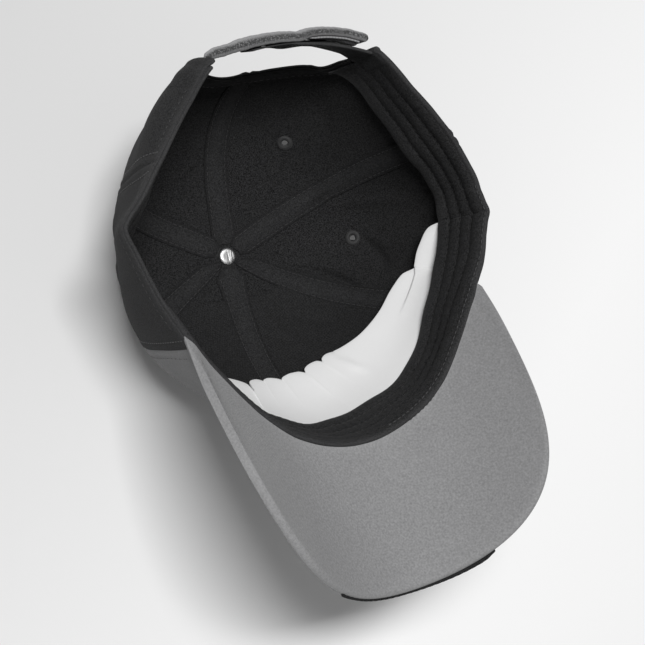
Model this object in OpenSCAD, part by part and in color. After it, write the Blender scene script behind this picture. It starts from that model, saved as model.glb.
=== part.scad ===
// Six-panel adjustable cap with a curved visor, lying on its crown.
// The head opening is the plane z = 0 and faces +Z, the crown hangs below it,
// the visor points to -Y and the wearer's right is +X. Lengths are millimetres.

/* [Head opening] */
// Length of the opening, front to back
opening_l = 184; // [176:1:192]
// Width of the opening where it is widest
opening_w = 182; // [174:1:190]
// How far behind the middle the opening is widest
widest_y = 12; // [8:1:16]

/* [Crown] */
// Depth from the opening to the inside of the top
crown_h = 106; // [98:1:114]
// How far behind the middle the top lies
top_y = 5; // [0:1:10]
// Profile power of the front panels: 1 is an ellipse, less is fuller
front_power = 0.95; // [0.85:0.01:1]
// Profile power of the side panels
side_power = 0.45; // [0.4:0.01:0.55]
// Profile power of the back panels
back_power = 0.5; // [0.45:0.01:0.6]
// Thickness of the panel cloth
panel_t = 1.2; // [0.9:0.1:1.5]
// Radius of the hole that the panel tips leave for the button's rivet
tip_r = 3; // [2.6:0.1:3.4]

/* [Lining] */
// Width of the tape over each seam
tape_w = 12; // [10:0.5:14]
// Thickness of the seam tape
tape_t = 0.8; // [0.6:0.1:1]
// Thickness of the stiffener behind the front panels
buckram_t = 0.8; // [0.6:0.1:1]
// Radius from the top where the seam tapes end
tape_end_r = 16; // [14:1:18]
// Radius from the top where the stiffeners end
buckram_end_r = 26; // [24:1:30]

/* [Sweatband] */
// Width of the sweatband
band_w = 34; // [30:1:36]
// Thickness of the sweatband between its ribs
band_t = 1.2; // [0.9:0.1:1.5]
// Height of the ribs on the sweatband
rib_h = 0.9; // [0.5:0.1:1.2]
// Number of ribs across the sweatband
rib_count = 4; // [3:1:5]
// How far the free edge of the sweatband stands off the crown
band_lean = 3.6; // [3.2:0.1:4.4]

/* [Back opening] */
// Half the length of the opening along the rim
strap_half = 43; // [40:1:46]
// How far the ends of the strap lie in front of its middle
strap_sag = 8; // [6:0.5:10]
// Height of the arch over the strap
arch_h = 48; // [42:1:54]
// Width of the tape that binds the arch
binding_w = 8; // [6:0.5:10]

/* [Strap] */
// Height of the strap
strap_h = 20; // [16:1:24]
// Thickness of the strap cloth
strap_t = 1.5; // [1.2:0.1:1.8]
// Thickness of the hook patch and of the loop patch
patch_t = 1; // [0.8:0.1:1.2]
// Length of the outer tab past the middle of the back
outer_reach = 40; // [32:1:41]
// Length of the inner tab past the middle of the back
inner_reach = 21; // [10:1:28]
// Length of the hook patch
hook_l = 50; // [30:1:56]
// Length of the loop patch
loop_l = 46; // [30:1:52]
// Length of each strap end that is sewn to the crown
root_l = 12; // [8:1:14]

/* [Visor] */
// Length of the visor at its middle
visor_l = 69; // [60:1:78]
// Width across the visor
visor_w = 155; // [148:1:162]
// Half the distance between the ends of the visor, along the rim
visor_half = 77; // [74:1:80]
// How far in front of the middle the ends of the visor lie
visor_end_y = 30; // [26:1:34]
// How far the front edge rises past the opening at its middle
visor_rise = 15; // [10:1:20]
// How much further the corners of the visor rise
visor_arch = 72; // [60:1:80]
// Roundness power of the visor's outline
visor_power = 0.61; // [0.55:0.01:0.68]
// Thickness of the board in the visor
board_t = 2; // [1.6:0.1:2.6]
// Thickness of the cloth covers on the visor
cover_t = 0.8; // [0.6:0.1:1]
// Width of the contrast edging on the front edge
trim_w = 1.5; // [1.1:0.1:2]
// Length of the contrast edging along the front edge
trim_l = 74; // [60:1:90]

/* [Button and eyelets] */
// Diameter of the cloth-covered button
button_d = 16; // [14:0.5:18]
// Height of the button
button_h = 6; // [5:0.5:7]
// Diameter of the rivet's head
rivet_d = 8.6; // [8:0.1:9.4]
// Thickness of the rivet's head
rivet_t = 1.2; // [1:0.1:1.5]
// Diameter of the rivet's stem
stem_d = 3.6; // [3:0.1:4]
// Diameter of the hole in an eyelet
eyelet_d = 3; // [2.4:0.1:3.4]
// Width of the thread rim round that hole
eyelet_rim = 2.4; // [2:0.1:2.8]
// How far the eyelets lie short of the inside of the top
eyelet_drop = 14; // [12:0.5:18]

/* [Shaper insert] */
// Depth of the insert's top edge at the front
insert_depth = 78; // [72:1:84]
// Depth of the insert's top edge at its tips
insert_tip_depth = 42; // [40:1:48]
// How far the insert is tucked behind the sweatband
insert_tuck = 6; // [4:0.5:7]
// Thickness of the insert
insert_t = 0.8; // [0.6:0.1:1]
// How far the top edge of the insert stands off the panels
insert_stand = 6.5; // [6:0.1:7.5]
// Depth of the scallops in the top edge
scallop_h = 3; // [1:0.5:4]
// Number of scallops across the front
scallop_count = 7; // [5:2:9]

/* [Fits] */
// Gap between cloth layers that are sewn together
layer_gap = 0.3; // [0.25:0.05:0.4]
// Gap inside the panels where they bend at the back opening
bend_gap = 0.6; // [0.5:0.05:0.8]
// Gap between pieces that move past each other
move_gap = 0.4; // [0.35:0.05:0.6]
// Gap round the rivet's stem
stem_gap = 0.1; // [0.05:0.05:0.2]

/* [Hidden] */
$fn = 48;

cloth_dark = "#2b2b2e";
cloth_black = "#1d1d20";
cloth_gray = "#8d8d90";
card_white = "#f2f2f0";

// Grid steps: along a panel, down a panel, round the sweatband, along the visor, out along the visor
panel_steps = 16;
panel_rows = 16;
band_steps = 48;
visor_steps = 36;
visor_rows = 5;
insert_steps = 70;

// The rim is a closed curve with a station u for each of 12 points, so that u = 0 is the front seam,
// u = 2 the front side seam at the visor's end, u = 3 the widest point, u = 4 the back side seam,
// u = 5 the end of the strap and u = 6 the back seam. Stations below 0 are on the wearer's left.
front_side_station = 2;
back_side_station = 4;
strap_station = 5;
back_station = 6;
// Stations taken by half of the back opening
arch_half = back_station - strap_station;
stations = 12;
// Shares of the way round the front and of the way from the widest point to the strap
front_shoulder = [0.6, 0.68];
back_shoulder = [0.333, 0.444];
strap_y = opening_l / 2 - strap_sag;
widest = [opening_w / 2, widest_y];
strap_corner = [strap_half, strap_y];
rim_half = [
    [0, -opening_l / 2],
    [front_shoulder.x * visor_half, -visor_end_y - front_shoulder.y * (opening_l / 2 - visor_end_y)],
    [visor_half, -visor_end_y],
    widest,
    [for (k = [0, 1]) widest[k] + (strap_corner[k] - widest[k]) * back_shoulder[k]],
    strap_corner,
    [0, opening_l / 2]
];
mirrored = [-1, 1];

function rim_point(i) =
    let (k = (i % stations + stations) % stations, p = rim_half[k <= back_station ? k : stations - k])
    k <= back_station ? p : [p.x * mirrored.x, p.y * mirrored.y];

// Smooth curve through the rim points
function rim(u) =
    let (i = floor(u), f = u - i)
    let (a = rim_point(i - 1), b = rim_point(i), c = rim_point(i + 1), d = rim_point(i + 2))
    b + f / 2 * ((c - a) + f * ((2 * a - 5 * b + 4 * c - d) + f * (3 * (b - c) + d - a)));

// Power of the profile at a station: the front's and the back's fade into the sides'
function power(u) =
    let (c = cos(u * 360 / stations))
    side_power + ((c > 0 ? front_power : back_power) - side_power) * c * c;

// Inside of the panels at a station u and a latitude, which is 0 at the rim and 90 at the top
function wall(u, lat) =
    let (r = rim(u), k = pow(cos(lat), power(u)))
    [r.x * k, top_y + (r.y - top_y) * k, -crown_h * sin(lat)];

function unit(v) = v / norm(v);
station_step = 0.01;
lat_step = 0.5;
function wall_across(u, lat) =
    (wall(u + station_step, lat) - wall(u - station_step, lat)) / (2 * station_step);
function wall_down(u, lat) =
    let (h = min(lat_step, (90 - lat) / 2))
    wall(u, lat + h) - wall(u, lat - h);
function outward(u, lat) = unit(cross(wall_down(u, lat), wall_across(u, lat)));
// A layer of the crown: d is its distance outside the inner face of the panels
function layer(u, lat, d) = wall(u, lat) + d * outward(u, lat);
// Stations taken by a width w of cloth
function span(u, lat, w) = w / norm(wall_across(u, lat));
function lat_at(depth) = asin(depth / crown_h);
// Latitude at which the panels have closed in to the radius r
function lat_near_top(u, r) = acos(pow(r / norm(rim(u) - [0, top_y]), 1 / power(u)));
// Latitude at a share s of the way from one latitude to another, spread evenly over the cloth
function lat_share(u, low, high, s) =
    let (p = power(u), a = pow(1 - low / 90, p), b = pow(1 - high / 90, p))
    90 * (1 - pow(a + (b - a) * s, 1 / p));

// Arch of the back opening: its height at a station
arch_power = 2.5;
function arch_at(u) =
    let (x = min(1, abs(u - back_station) / arch_half))
    arch_h * pow(1 - pow(x, arch_power), 1 / arch_power);
// Station of the arch's edge at a depth, on the wearer's right
function arch_station(depth) =
    back_station - arch_half * pow(1 - pow(depth / arch_h, arch_power), 1 / arch_power);

// Closed solid between two grids of points that functions of i and j give; outer is the face whose
// normal is the way of j crossed with the way of i
module slab(ni, nj, outer, inner) {
    rows = nj + 1;
    count = (ni + 1) * rows;
    points = [for (f = [outer, inner]) for (i = [0:ni]) for (j = [0:nj]) f(i, j)];
    a = function (i, j) i * rows + j;
    b = function (i, j) count + i * rows + j;
    faces = [
        for (i = [0:ni - 1]) for (j = [0:nj - 1]) each [
            [a(i, j), a(i + 1, j), a(i + 1, j + 1)], [a(i, j), a(i + 1, j + 1), a(i, j + 1)],
            [b(i, j), b(i + 1, j + 1), b(i + 1, j)], [b(i, j), b(i, j + 1), b(i + 1, j + 1)]],
        for (i = [0:ni - 1]) each [
            [a(i + 1, 0), a(i, 0), b(i, 0)], [a(i + 1, 0), b(i, 0), b(i + 1, 0)],
            [a(i, nj), a(i + 1, nj), b(i + 1, nj)], [a(i, nj), b(i + 1, nj), b(i, nj)]],
        for (j = [0:nj - 1]) each [
            [a(0, j), a(0, j + 1), b(0, j)], [a(0, j + 1), b(0, j + 1), b(0, j)],
            [a(ni, j + 1), a(ni, j), b(ni, j)], [a(ni, j + 1), b(ni, j), b(ni, j + 1)]]
    ];
    polyhedron(points, faces);
}

module mirror_left() {
    mirror([1, 0, 0]) children();
}

// Cloth panel over the stations in us, from the rim or the arch to the hole at the top
module panel(us) {
    lat = function (i, j)
        lat_share(us[i], lat_at(arch_at(us[i])), lat_near_top(us[i], tip_r), j / panel_rows);
    slab(len(us) - 1, panel_rows,
        function (i, j) layer(us[i], lat(i, j), panel_t),
        function (i, j) layer(us[i], lat(i, j), 0));
}

function even(from, to, n) = [for (i = [0:n]) from + (to - from) * i / n];

module front_panel() {
    panel(even(0, front_side_station, panel_steps));
}

// Moves an eyelet's axis from Z onto the crown at a station, with the axis square to the cloth
module at_eyelet(u) {
    lat = lat_at(crown_h - eyelet_drop);
    n = outward(u, lat);
    translate(layer(u, lat, panel_t / 2))
        rotate([0, acos(n.z), atan2(n.y, n.x)])
            children();
}

side_eyelet_station = 2.8;
back_eyelet_station = 4.8;
barrel_t = 0.8;
// Length of the punched hole for an eyelet, which passes the cloth on both sides
punch_l = 4 * panel_t;
// Room for the curve of the cloth under an eyelet's flange
flange_gap = bend_gap;
flange_t = 0.6;

module eyelet_hole(u) {
    at_eyelet(u) cylinder(h = punch_l, d = eyelet_d + 2 * (barrel_t + layer_gap), center = true);
}

module eyelet(u) {
    inner_z = panel_t / 2 + flange_gap;
    outer_z = inner_z + flange_t;
    hole_r = eyelet_d / 2;
    barrel_r = hole_r + barrel_t;
    rim_r = hole_r + eyelet_rim;
    at_eyelet(u) rotate_extrude() polygon([
        [hole_r, -outer_z], [rim_r, -outer_z], [rim_r, -inner_z], [barrel_r, -inner_z],
        [barrel_r, inner_z], [rim_r, inner_z], [rim_r, outer_z], [hole_r, outer_z]]);
}

module side_panel() {
    difference() {
        panel(even(front_side_station, back_side_station, panel_steps));
        eyelet_hole(side_eyelet_station);
    }
}

// Share of the back panel's steps that lie beside the arch
beside_arch = 8;
module back_panel() {
    over_arch = panel_steps - beside_arch;
    difference() {
        panel(concat(even(back_side_station, strap_station, beside_arch),
            [for (k = [1:over_arch]) back_station - arch_half * cos(90 * k / over_arch)]));
        eyelet_hole(back_eyelet_station);
    }
}

// Stiffener between the seam tapes behind a front panel
module buckram() {
    edge = tape_w / 2 + layer_gap;
    rows = panel_rows - 2;
    low = lat_at(layer_gap);
    lat = function (i, j) lat_share(1, low, lat_near_top(1, buckram_end_r), j / rows);
    station = function (i, j)
        let (l = lat(i, j), from = span(0, l, edge))
        let (to = front_side_station - span(front_side_station, l, edge))
        from + (to - from) * i / panel_steps;
    slab(panel_steps, rows,
        function (i, j) layer(station(i, j), lat(i, j), -layer_gap),
        function (i, j) layer(station(i, j), lat(i, j), -layer_gap - buckram_t));
}

// Tape over the seam at a station, from a depth to the ring where the tapes meet
tape_rows = 14;
module seam_tape(u, from_depth) {
    lat = function (j) lat_share(u, lat_at(from_depth), lat_near_top(u, tape_end_r), j / tape_rows);
    station = function (i, j) u + (i - 1) * span(u, lat(j), tape_w / 2);
    slab(2, tape_rows,
        function (i, j) layer(station(i, j), lat(j), -layer_gap),
        function (i, j) layer(station(i, j), lat(j), -layer_gap - tape_t));
}

// Tape inside the edge of the back opening
module opening_tape() {
    steps = 24;
    start = asin(pow((strap_top + strap_h + layer_gap) / arch_h, arch_power / 2));
    turn = function (i) start + (180 - 2 * start) * i / steps;
    grow = function (j) j * binding_w + layer_gap;
    reach = function (j) arch_half + span(strap_station, 0, grow(j));
    round_cos = function (i) sign(cos(turn(i))) * pow(abs(cos(turn(i))), 2 / arch_power);
    round_sin = function (i) pow(sin(turn(i)), 2 / arch_power);
    station = function (i, j) back_station - reach(j) * round_cos(i);
    depth = function (i, j) (arch_h + grow(j)) * round_sin(i);
    slab(steps, 1,
        function (i, j) layer(station(i, j), lat_at(depth(i, j)), -bend_gap),
        function (i, j) layer(station(i, j), lat_at(depth(i, j)), -bend_gap - tape_t));
}

// Sweatband: sewn at the rim, with its free edge leaning in and lengthwise ribs on its inner face
root_t = strap_t;
band_off = bend_gap + max(tape_t, buckram_t, root_t) + layer_gap;
band_end_station = strap_station - span(strap_station, 0, root_t);
points_per_rib = 3;
module band() {
    rows = rib_count * points_per_rib;
    station = function (i) band_end_station * (2 * i / band_steps - 1);
    depth = function (j) layer_gap + (band_w - layer_gap) * j / rows;
    back_off = function (j) -band_off - band_lean * depth(j) / band_w;
    rib = function (j) rib_h * abs(sin(180 * j / points_per_rib));
    slab(band_steps, rows,
        function (i, j) layer(station(i), lat_at(depth(j)), back_off(j)),
        function (i, j) layer(station(i), lat_at(depth(j)), back_off(j) - band_t - rib(j)));
}

// Outer edge of the visor at a share w of its half turn, from -1 at one end to 1 at the other
visor_reach = visor_l + opening_l / 2 - visor_end_y;
function visor_edge(w) =
    let (s = sin(90 * w), c = pow(cos(90 * w), visor_power))
    [visor_w / 2 * s, -visor_end_y - visor_reach * c, c * (visor_rise + visor_arch * s * s)];
visor_seat = panel_t + layer_gap;
function visor_root(w) = layer(front_side_station * w, 0, visor_seat);
function visor_point(w, r) = visor_root(w) + (visor_edge(w) - visor_root(w)) * r;
function visor_length(w) = norm(visor_edge(w) - visor_root(w));
// Unit vector square to the visor, out of its under side
function visor_normal(w, r) =
    unit(cross(visor_point(w + station_step, r) - visor_point(w - station_step, r),
        visor_root(w) - visor_edge(w)));
// Point of the visor at a distance from its edge and a height over its middle layer
function visor_at(w, inset, share, d) =
    let (r = (1 - inset / visor_length(w)) * share)
    visor_point(w, r) + d * visor_normal(w, r);

visor_end_share = 0.96;
board_end_share = 0.9;
cover_mid = board_t / 2 + layer_gap;
cover_top = cover_mid + cover_t;
board_inset = cover_t + layer_gap;

module visor_layer(end_w, inset, high, low) {
    w = function (i) end_w * (2 * i / visor_steps - 1);
    slab(visor_steps, visor_rows,
        function (i, j) visor_at(w(i), inset, j / visor_rows, high),
        function (i, j) visor_at(w(i), inset, j / visor_rows, low));
}

// Under cover, with a lip that wraps the edge of the board
module under_cover() {
    w = function (i) visor_end_share * (2 * i / visor_steps - 1);
    share = function (j) min(1, j / visor_rows);
    outer_d = function (j) j > visor_rows ? -board_t / 2 : cover_top;
    inner_d = function (j) j > visor_rows ? -board_t / 2 : cover_mid;
    slab(visor_steps, visor_rows + 1,
        function (i, j) visor_at(w(i), 0, share(j), outer_d(j)),
        function (i, j) visor_at(w(i), cover_t, share(j), inner_d(j)));
}

// Contrast edging just outside the front edge
module edging() {
    steps = 12;
    half_w = asin(trim_l / visor_w) / 90;
    w = function (i) half_w * (2 * i / steps - 1);
    inset = function (j) -layer_gap - trim_w * j;
    slab(steps, 1,
        function (i, j) visor_at(w(i), inset(j), 1, cover_mid),
        function (i, j) visor_at(w(i), inset(j), 1, -cover_top));
}

// Strap: two tabs on one arc through the ends and the middle of the back
strap_r = (strap_half * strap_half + strap_sag * strap_sag) / (2 * strap_sag);
strap_mid_r = strap_r + panel_t / 2;
strap_centre = [0, opening_l / 2 - strap_r, 0];
strap_top = 1;
// Facets in a whole turn of the strap's arc
strap_facets = 180;
hook_r = strap_mid_r + move_gap / 2;
outer_r = hook_r + patch_t + layer_gap / 2;
loop_r = strap_mid_r - move_gap / 2;
inner_r = loop_r - patch_t - layer_gap / 2;
patch_margin = 2;
// Station where the sewn ends stop, at the arch's edge below the strap, and where the tabs start
root_end_station = arch_station(strap_top + strap_h);
tab_start = rim(root_end_station).x - move_gap;
function strap_angle(x) = asin(x / strap_mid_r);

// Curved plate of the strap between two distances from the middle, positive to the wearer's right
module strap_plate(r_from, r_to, x_from, x_to, margin) {
    translate(strap_centre + [0, 0, -strap_top - strap_h + margin])
        rotate([0, 0, 90 - strap_angle(x_to)])
            rotate_extrude(angle = strap_angle(x_to) - strap_angle(x_from), $fn = strap_facets)
                translate([r_from, 0]) square([r_to - r_from, strap_h - 2 * margin]);
}

// Sewn end of a strap tab, a patch on the back panel from a distance d off its inner face
module strap_root(d) {
    steps = 3;
    rows = 3;
    start = strap_station - span(strap_station, 0, root_l);
    station = function (i) start + (root_end_station - start) * i / steps;
    depth = function (j) strap_top + strap_h * j / rows;
    slab(steps, rows,
        function (i, j) layer(station(i), lat_at(depth(j)), d + root_t),
        function (i, j) layer(station(i), lat_at(depth(j)), d));
}

// Insert: a thin sheet in straight lines from its tucked lower edge to its scalloped top edge
insert_end_station = 2.72;
scallop_end_station = 1.4;
insert_fade_power = 2;
insert_low = band_w - insert_tuck;
function insert_top(u) =
    let (fade = pow(abs(u) / insert_end_station, insert_fade_power))
    let (wave = abs(sin(90 * scallop_count * (u / scallop_end_station + 1))))
    insert_depth - (insert_depth - insert_tip_depth) * fade
        - (abs(u) < scallop_end_station ? scallop_h * (1 - wave) : 0);
insert_foot_off = layer_gap + buckram_t + move_gap + insert_t;
function insert_foot(u) = layer(u, lat_at(insert_low), -insert_foot_off);
function insert_edge(u) = layer(u, lat_at(insert_top(u)), -insert_stand);
insert_rows = 3;
module insert_sheet() {
    station = function (i) insert_end_station * (2 * i / insert_steps - 1);
    point = function (i, j, d)
        let (u = station(i), s = j / insert_rows)
        insert_foot(u) + (insert_edge(u) - insert_foot(u)) * s + d * outward(u, lat_at(insert_low));
    slab(insert_steps, insert_rows,
        function (i, j) point(i, j, insert_t),
        function (i, j) point(i, j, 0));
}

top_out = -crown_h - panel_t - layer_gap;
bore_l = button_h / 2;
stem_l = layer_gap - top_out - crown_h + bore_l - stem_gap;
top_place = [0, top_y, 0];
// Shares of the button's height that is domed and of its width at the top of the dome
button_dome_share = 0.6;
button_top_share = 0.7;

module top_button() {
    dome = button_h * button_dome_share;
    color(cloth_gray) translate(top_place + [0, 0, top_out]) difference() {
        union() {
            translate([0, 0, -button_h + dome]) cylinder(h = button_h - dome, d = button_d);
            translate([0, 0, -button_h]) cylinder(h = dome, d1 = button_d * button_top_share, d2 = button_d);
        }
        translate([0, 0, -bore_l]) cylinder(h = button_h, d = stem_d + 2 * stem_gap);
    }
}

module button_rivet() {
    color("silver") translate(top_place + [0, 0, -crown_h + layer_gap]) {
        cylinder(h = rivet_t, d = rivet_d);
        translate([0, 0, -stem_l]) cylinder(h = stem_l, d = stem_d);
    }
}

module front_right_panel() { color(cloth_gray) front_panel(); }
module front_left_panel() { color(cloth_gray) mirror_left() front_panel(); }
module side_right_panel() { color(cloth_dark) side_panel(); }
module side_left_panel() { color(cloth_dark) mirror_left() side_panel(); }
module back_right_panel() { color(cloth_dark) back_panel(); }
module back_left_panel() { color(cloth_dark) mirror_left() back_panel(); }
module front_right_buckram() { color(cloth_black) buckram(); }
module front_left_buckram() { color(cloth_black) mirror_left() buckram(); }
module front_seam_tape() { color(cloth_dark) seam_tape(0, layer_gap); }
module front_right_seam_tape() { color(cloth_dark) seam_tape(front_side_station, layer_gap); }
module front_left_seam_tape() { color(cloth_dark) mirror_left() seam_tape(front_side_station, layer_gap); }
module back_right_seam_tape() { color(cloth_dark) seam_tape(back_side_station, layer_gap); }
module back_left_seam_tape() { color(cloth_dark) mirror_left() seam_tape(back_side_station, layer_gap); }
module back_seam_tape() { color(cloth_dark) seam_tape(back_station, arch_h + binding_w + 3 * layer_gap); }
module sweatband() { color(cloth_black) band(); }
module opening_binding() { color(cloth_black) opening_tape(); }
module visor_board() { color("white") visor_layer(board_end_share, board_inset, board_t / 2, -board_t / 2); }
module visor_top_cover() { color(cloth_gray) visor_layer(visor_end_share, 0, -cover_mid, -cover_top); }
module visor_under_cover() { color(cloth_gray) under_cover(); }
module visor_trim() { color(cloth_dark) edging(); }
module side_right_eyelet() { color(cloth_dark) eyelet(side_eyelet_station); }
module side_left_eyelet() { color(cloth_dark) mirror_left() eyelet(side_eyelet_station); }
module back_right_eyelet() { color(cloth_dark) eyelet(back_eyelet_station); }
module back_left_eyelet() { color(cloth_dark) mirror_left() eyelet(back_eyelet_station); }
module strap_outer_root() { color(cloth_gray) mirror_left() strap_root(panel_t + layer_gap); }
module strap_inner_root() { color(cloth_dark) strap_root(-bend_gap - root_t); }
module strap_outer_tab() {
    color(cloth_gray) strap_plate(outer_r, outer_r + strap_t, -tab_start, outer_reach, 0);
}
module hook_patch() {
    color(cloth_gray)
        strap_plate(hook_r, hook_r + patch_t, outer_reach - patch_margin - hook_l, outer_reach - patch_margin,
            patch_margin);
}
module strap_inner_tab() {
    color(cloth_dark) strap_plate(inner_r - strap_t, inner_r, -inner_reach, tab_start, 0);
}
module loop_patch() {
    color(cloth_black)
        strap_plate(loop_r - patch_t, loop_r, patch_margin - inner_reach, patch_margin - inner_reach + loop_l,
            patch_margin);
}
module front_insert() { color(card_white) insert_sheet(); }

front_right_panel();
front_left_panel();
side_right_panel();
side_left_panel();
back_right_panel();
back_left_panel();
front_right_buckram();
front_left_buckram();
front_seam_tape();
front_right_seam_tape();
front_left_seam_tape();
back_right_seam_tape();
back_left_seam_tape();
back_seam_tape();
sweatband();
opening_binding();
visor_board();
visor_top_cover();
visor_under_cover();
visor_trim();
top_button();
button_rivet();
side_right_eyelet();
side_left_eyelet();
back_right_eyelet();
back_left_eyelet();
strap_outer_root();
strap_outer_tab();
hook_patch();
strap_inner_root();
strap_inner_tab();
loop_patch();
front_insert();
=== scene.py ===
# %% [markdown]
# # A cloth cap, dressed over its CAD frame
# The cap lies on its crown with the head opening up, as it was photographed. The frame holds one solid for
# each sewn piece. Each solid is replaced here by cloth, thread, card or metal that is worked out with numpy
# on the same curves, so that every layer lies on the one below it. Lengths in this file are millimetres
# until a mesh is made.

import bpy
import numpy as np
from mathutils import Matrix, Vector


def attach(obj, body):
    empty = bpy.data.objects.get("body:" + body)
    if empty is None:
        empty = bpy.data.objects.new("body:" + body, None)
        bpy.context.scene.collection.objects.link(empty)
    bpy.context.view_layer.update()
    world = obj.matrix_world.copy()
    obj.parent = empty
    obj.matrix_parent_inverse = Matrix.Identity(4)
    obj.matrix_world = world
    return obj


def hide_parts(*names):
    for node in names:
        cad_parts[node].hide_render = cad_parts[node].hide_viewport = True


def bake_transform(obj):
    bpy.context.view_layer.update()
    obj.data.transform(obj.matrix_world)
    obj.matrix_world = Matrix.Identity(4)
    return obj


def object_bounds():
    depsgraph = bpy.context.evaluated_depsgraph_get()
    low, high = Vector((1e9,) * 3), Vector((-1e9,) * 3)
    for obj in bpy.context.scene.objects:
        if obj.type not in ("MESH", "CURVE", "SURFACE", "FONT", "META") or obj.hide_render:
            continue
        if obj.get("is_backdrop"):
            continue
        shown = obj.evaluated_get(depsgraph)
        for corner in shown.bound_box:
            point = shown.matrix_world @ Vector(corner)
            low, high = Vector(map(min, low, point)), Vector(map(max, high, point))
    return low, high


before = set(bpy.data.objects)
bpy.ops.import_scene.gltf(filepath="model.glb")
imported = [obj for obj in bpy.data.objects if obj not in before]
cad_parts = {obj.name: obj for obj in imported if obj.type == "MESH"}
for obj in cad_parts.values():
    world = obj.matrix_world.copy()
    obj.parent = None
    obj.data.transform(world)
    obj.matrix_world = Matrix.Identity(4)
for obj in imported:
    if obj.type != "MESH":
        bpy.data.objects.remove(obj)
cad_low, cad_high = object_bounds()
MM = 0.001
TAU = 2 * np.pi

# %% [markdown]
# ## Camera
# The camera's place was found by fitting the rim, the seams and the visor of the model to the photograph.
# It could be aimed by eye, but a fitted camera lets each piece be compared with the photograph pixel by
# pixel.

# %% Camera
CAMERA_PLACE = (-380.695, -32.556, 690.183)
CAMERA_RIGHT = (0.868087, -0.166010, 0.467830)
CAMERA_UP = (0.147958, 0.986117, 0.075380)
CAMERA_BACK = (-0.473849, 0.003782, 0.880598)
FOCAL_PX = 1747.13
IMAGE_PX = 645
SENSOR_W = 36


def add_object(name, data):
    """New object that holds some data, linked to the scene."""
    made = bpy.data.objects.new(name, data)
    bpy.context.scene.collection.objects.link(made)
    return made


def stand(thing, right, up, back, place):
    """Turns a camera or a lamp to three axes and stands it at a place in metres."""
    turned = np.eye(4)
    turned[:3] = np.stack([right, up, back, place], axis=1)
    thing.matrix_world = Matrix(turned.tolist())


camera = add_object("camera", bpy.data.cameras.new("camera"))
stand(camera, CAMERA_RIGHT, CAMERA_UP, CAMERA_BACK, np.multiply(CAMERA_PLACE, MM))
camera.data.sensor_width = SENSOR_W
camera.data.lens = FOCAL_PX / IMAGE_PX * SENSOR_W
bpy.context.scene.camera = camera
print("lens:", round(camera.data.lens, 1), "mm")

# %% [markdown]
# ## The crown as a surface
# A cap's crown is six cloth panels sewn at the edges. It could be sculpted, but then no layer would fit the
# next. Here the whole crown is one function of two numbers: the station u, which goes once round the rim in
# 12 steps, and the latitude, which is 0 at the rim and 90 at the top. A layer is that surface moved along
# its own normal.

# %% Sizes and small formulas
OPENING_L, OPENING_W, WIDEST_Y = 184, 182, 12
CROWN_H, TOP_Y = 106, 5
FRONT_POWER, SIDE_POWER, BACK_POWER = 0.95, 0.45, 0.5
STRAP_HALF, STRAP_SAG = 43, 8
VISOR_HALF, VISOR_END_Y = 77, 30
ARCH_H, ARCH_POWER = 48, 2.5
PANEL_T, TIP_R = 1.2, 3
STATIONS, FRONT_SIDE, BACK_SIDE, STRAP_END, BACK = 12, 2, 4, 5, 6
STATION_STEP, LAT_STEP = 0.01, 0.5


def even(low, high, n):
    """Numbers evenly spread from low to high."""
    return np.linspace(low, high, n)


def arrays(*values):
    """The values as arrays of floats, all of one shape."""
    return np.broadcast_arrays(*(np.asarray(value, float) for value in values))


def unit(v):
    """Vectors divided by their lengths."""
    return v / np.linalg.norm(v, axis=-1, keepdims=True)


def bell(x, reach):
    """1 at x = 0, falling to nothing within about two reaches."""
    return np.exp(-((x / reach) ** 2))


def smooth(x):
    """0 below x = 0 and 1 above x = 1, with a soft step between."""
    x = np.clip(x, 0, 1)
    return x * x * (3 - 2 * x)


print("soft step at a quarter of the way:", smooth(0.25))

# %% Rim
# Shares of the way, across and along, at which the rim rounds the front and the back
FRONT_SHOULDER, BACK_SHOULDER = (0.6, 0.68), (0.333, 0.444)

widest = np.array([OPENING_W / 2, WIDEST_Y])
strap_corner = np.array([STRAP_HALF, OPENING_L / 2 - STRAP_SAG])
RIM_HALF = np.array([
    [0, -OPENING_L / 2],
    [FRONT_SHOULDER[0] * VISOR_HALF, -VISOR_END_Y - FRONT_SHOULDER[1] * (OPENING_L / 2 - VISOR_END_Y)],
    [VISOR_HALF, -VISOR_END_Y],
    widest,
    widest + (strap_corner - widest) * BACK_SHOULDER,
    strap_corner,
    [0, OPENING_L / 2],
])


def rim_point(i):
    """Rim point of a whole station, mirrored for the stations on the wearer's left."""
    k = np.mod(i, STATIONS)
    side = np.where(k <= BACK, 1, -1)
    return RIM_HALF[np.where(k <= BACK, k, STATIONS - k)] * np.stack([side, np.ones_like(side)], -1)


def cubic(a, b, c, d, f):
    """Smooth way from b to c at a share f, with the slopes that a before them and d after them give."""
    return b + f / 2 * ((c - a) + f * ((2 * a - 5 * b + 4 * c - d) + f * (3 * (b - c) + d - a)))


def rim(u):
    """Smooth cubic through the four rim points round a station."""
    i = np.floor(u).astype(int)
    return cubic(*(rim_point(i + k) for k in (-1, 0, 1, 2)), (u - i)[..., None])


print("rim at the front and the back:", rim(0).round(1), rim(BACK).round(1))


# %% Crown wall
def power(u):
    """Fullness of the profile: the front's and the back's fade into the sides' with the squared cosine."""
    c = np.cos(u * TAU / STATIONS)
    return SIDE_POWER + (np.where(c > 0, FRONT_POWER, BACK_POWER) - SIDE_POWER) * c * c


def lat_at(depth):
    """Latitude of a depth below the rim."""
    return np.degrees(np.arcsin(depth / CROWN_H))


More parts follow.
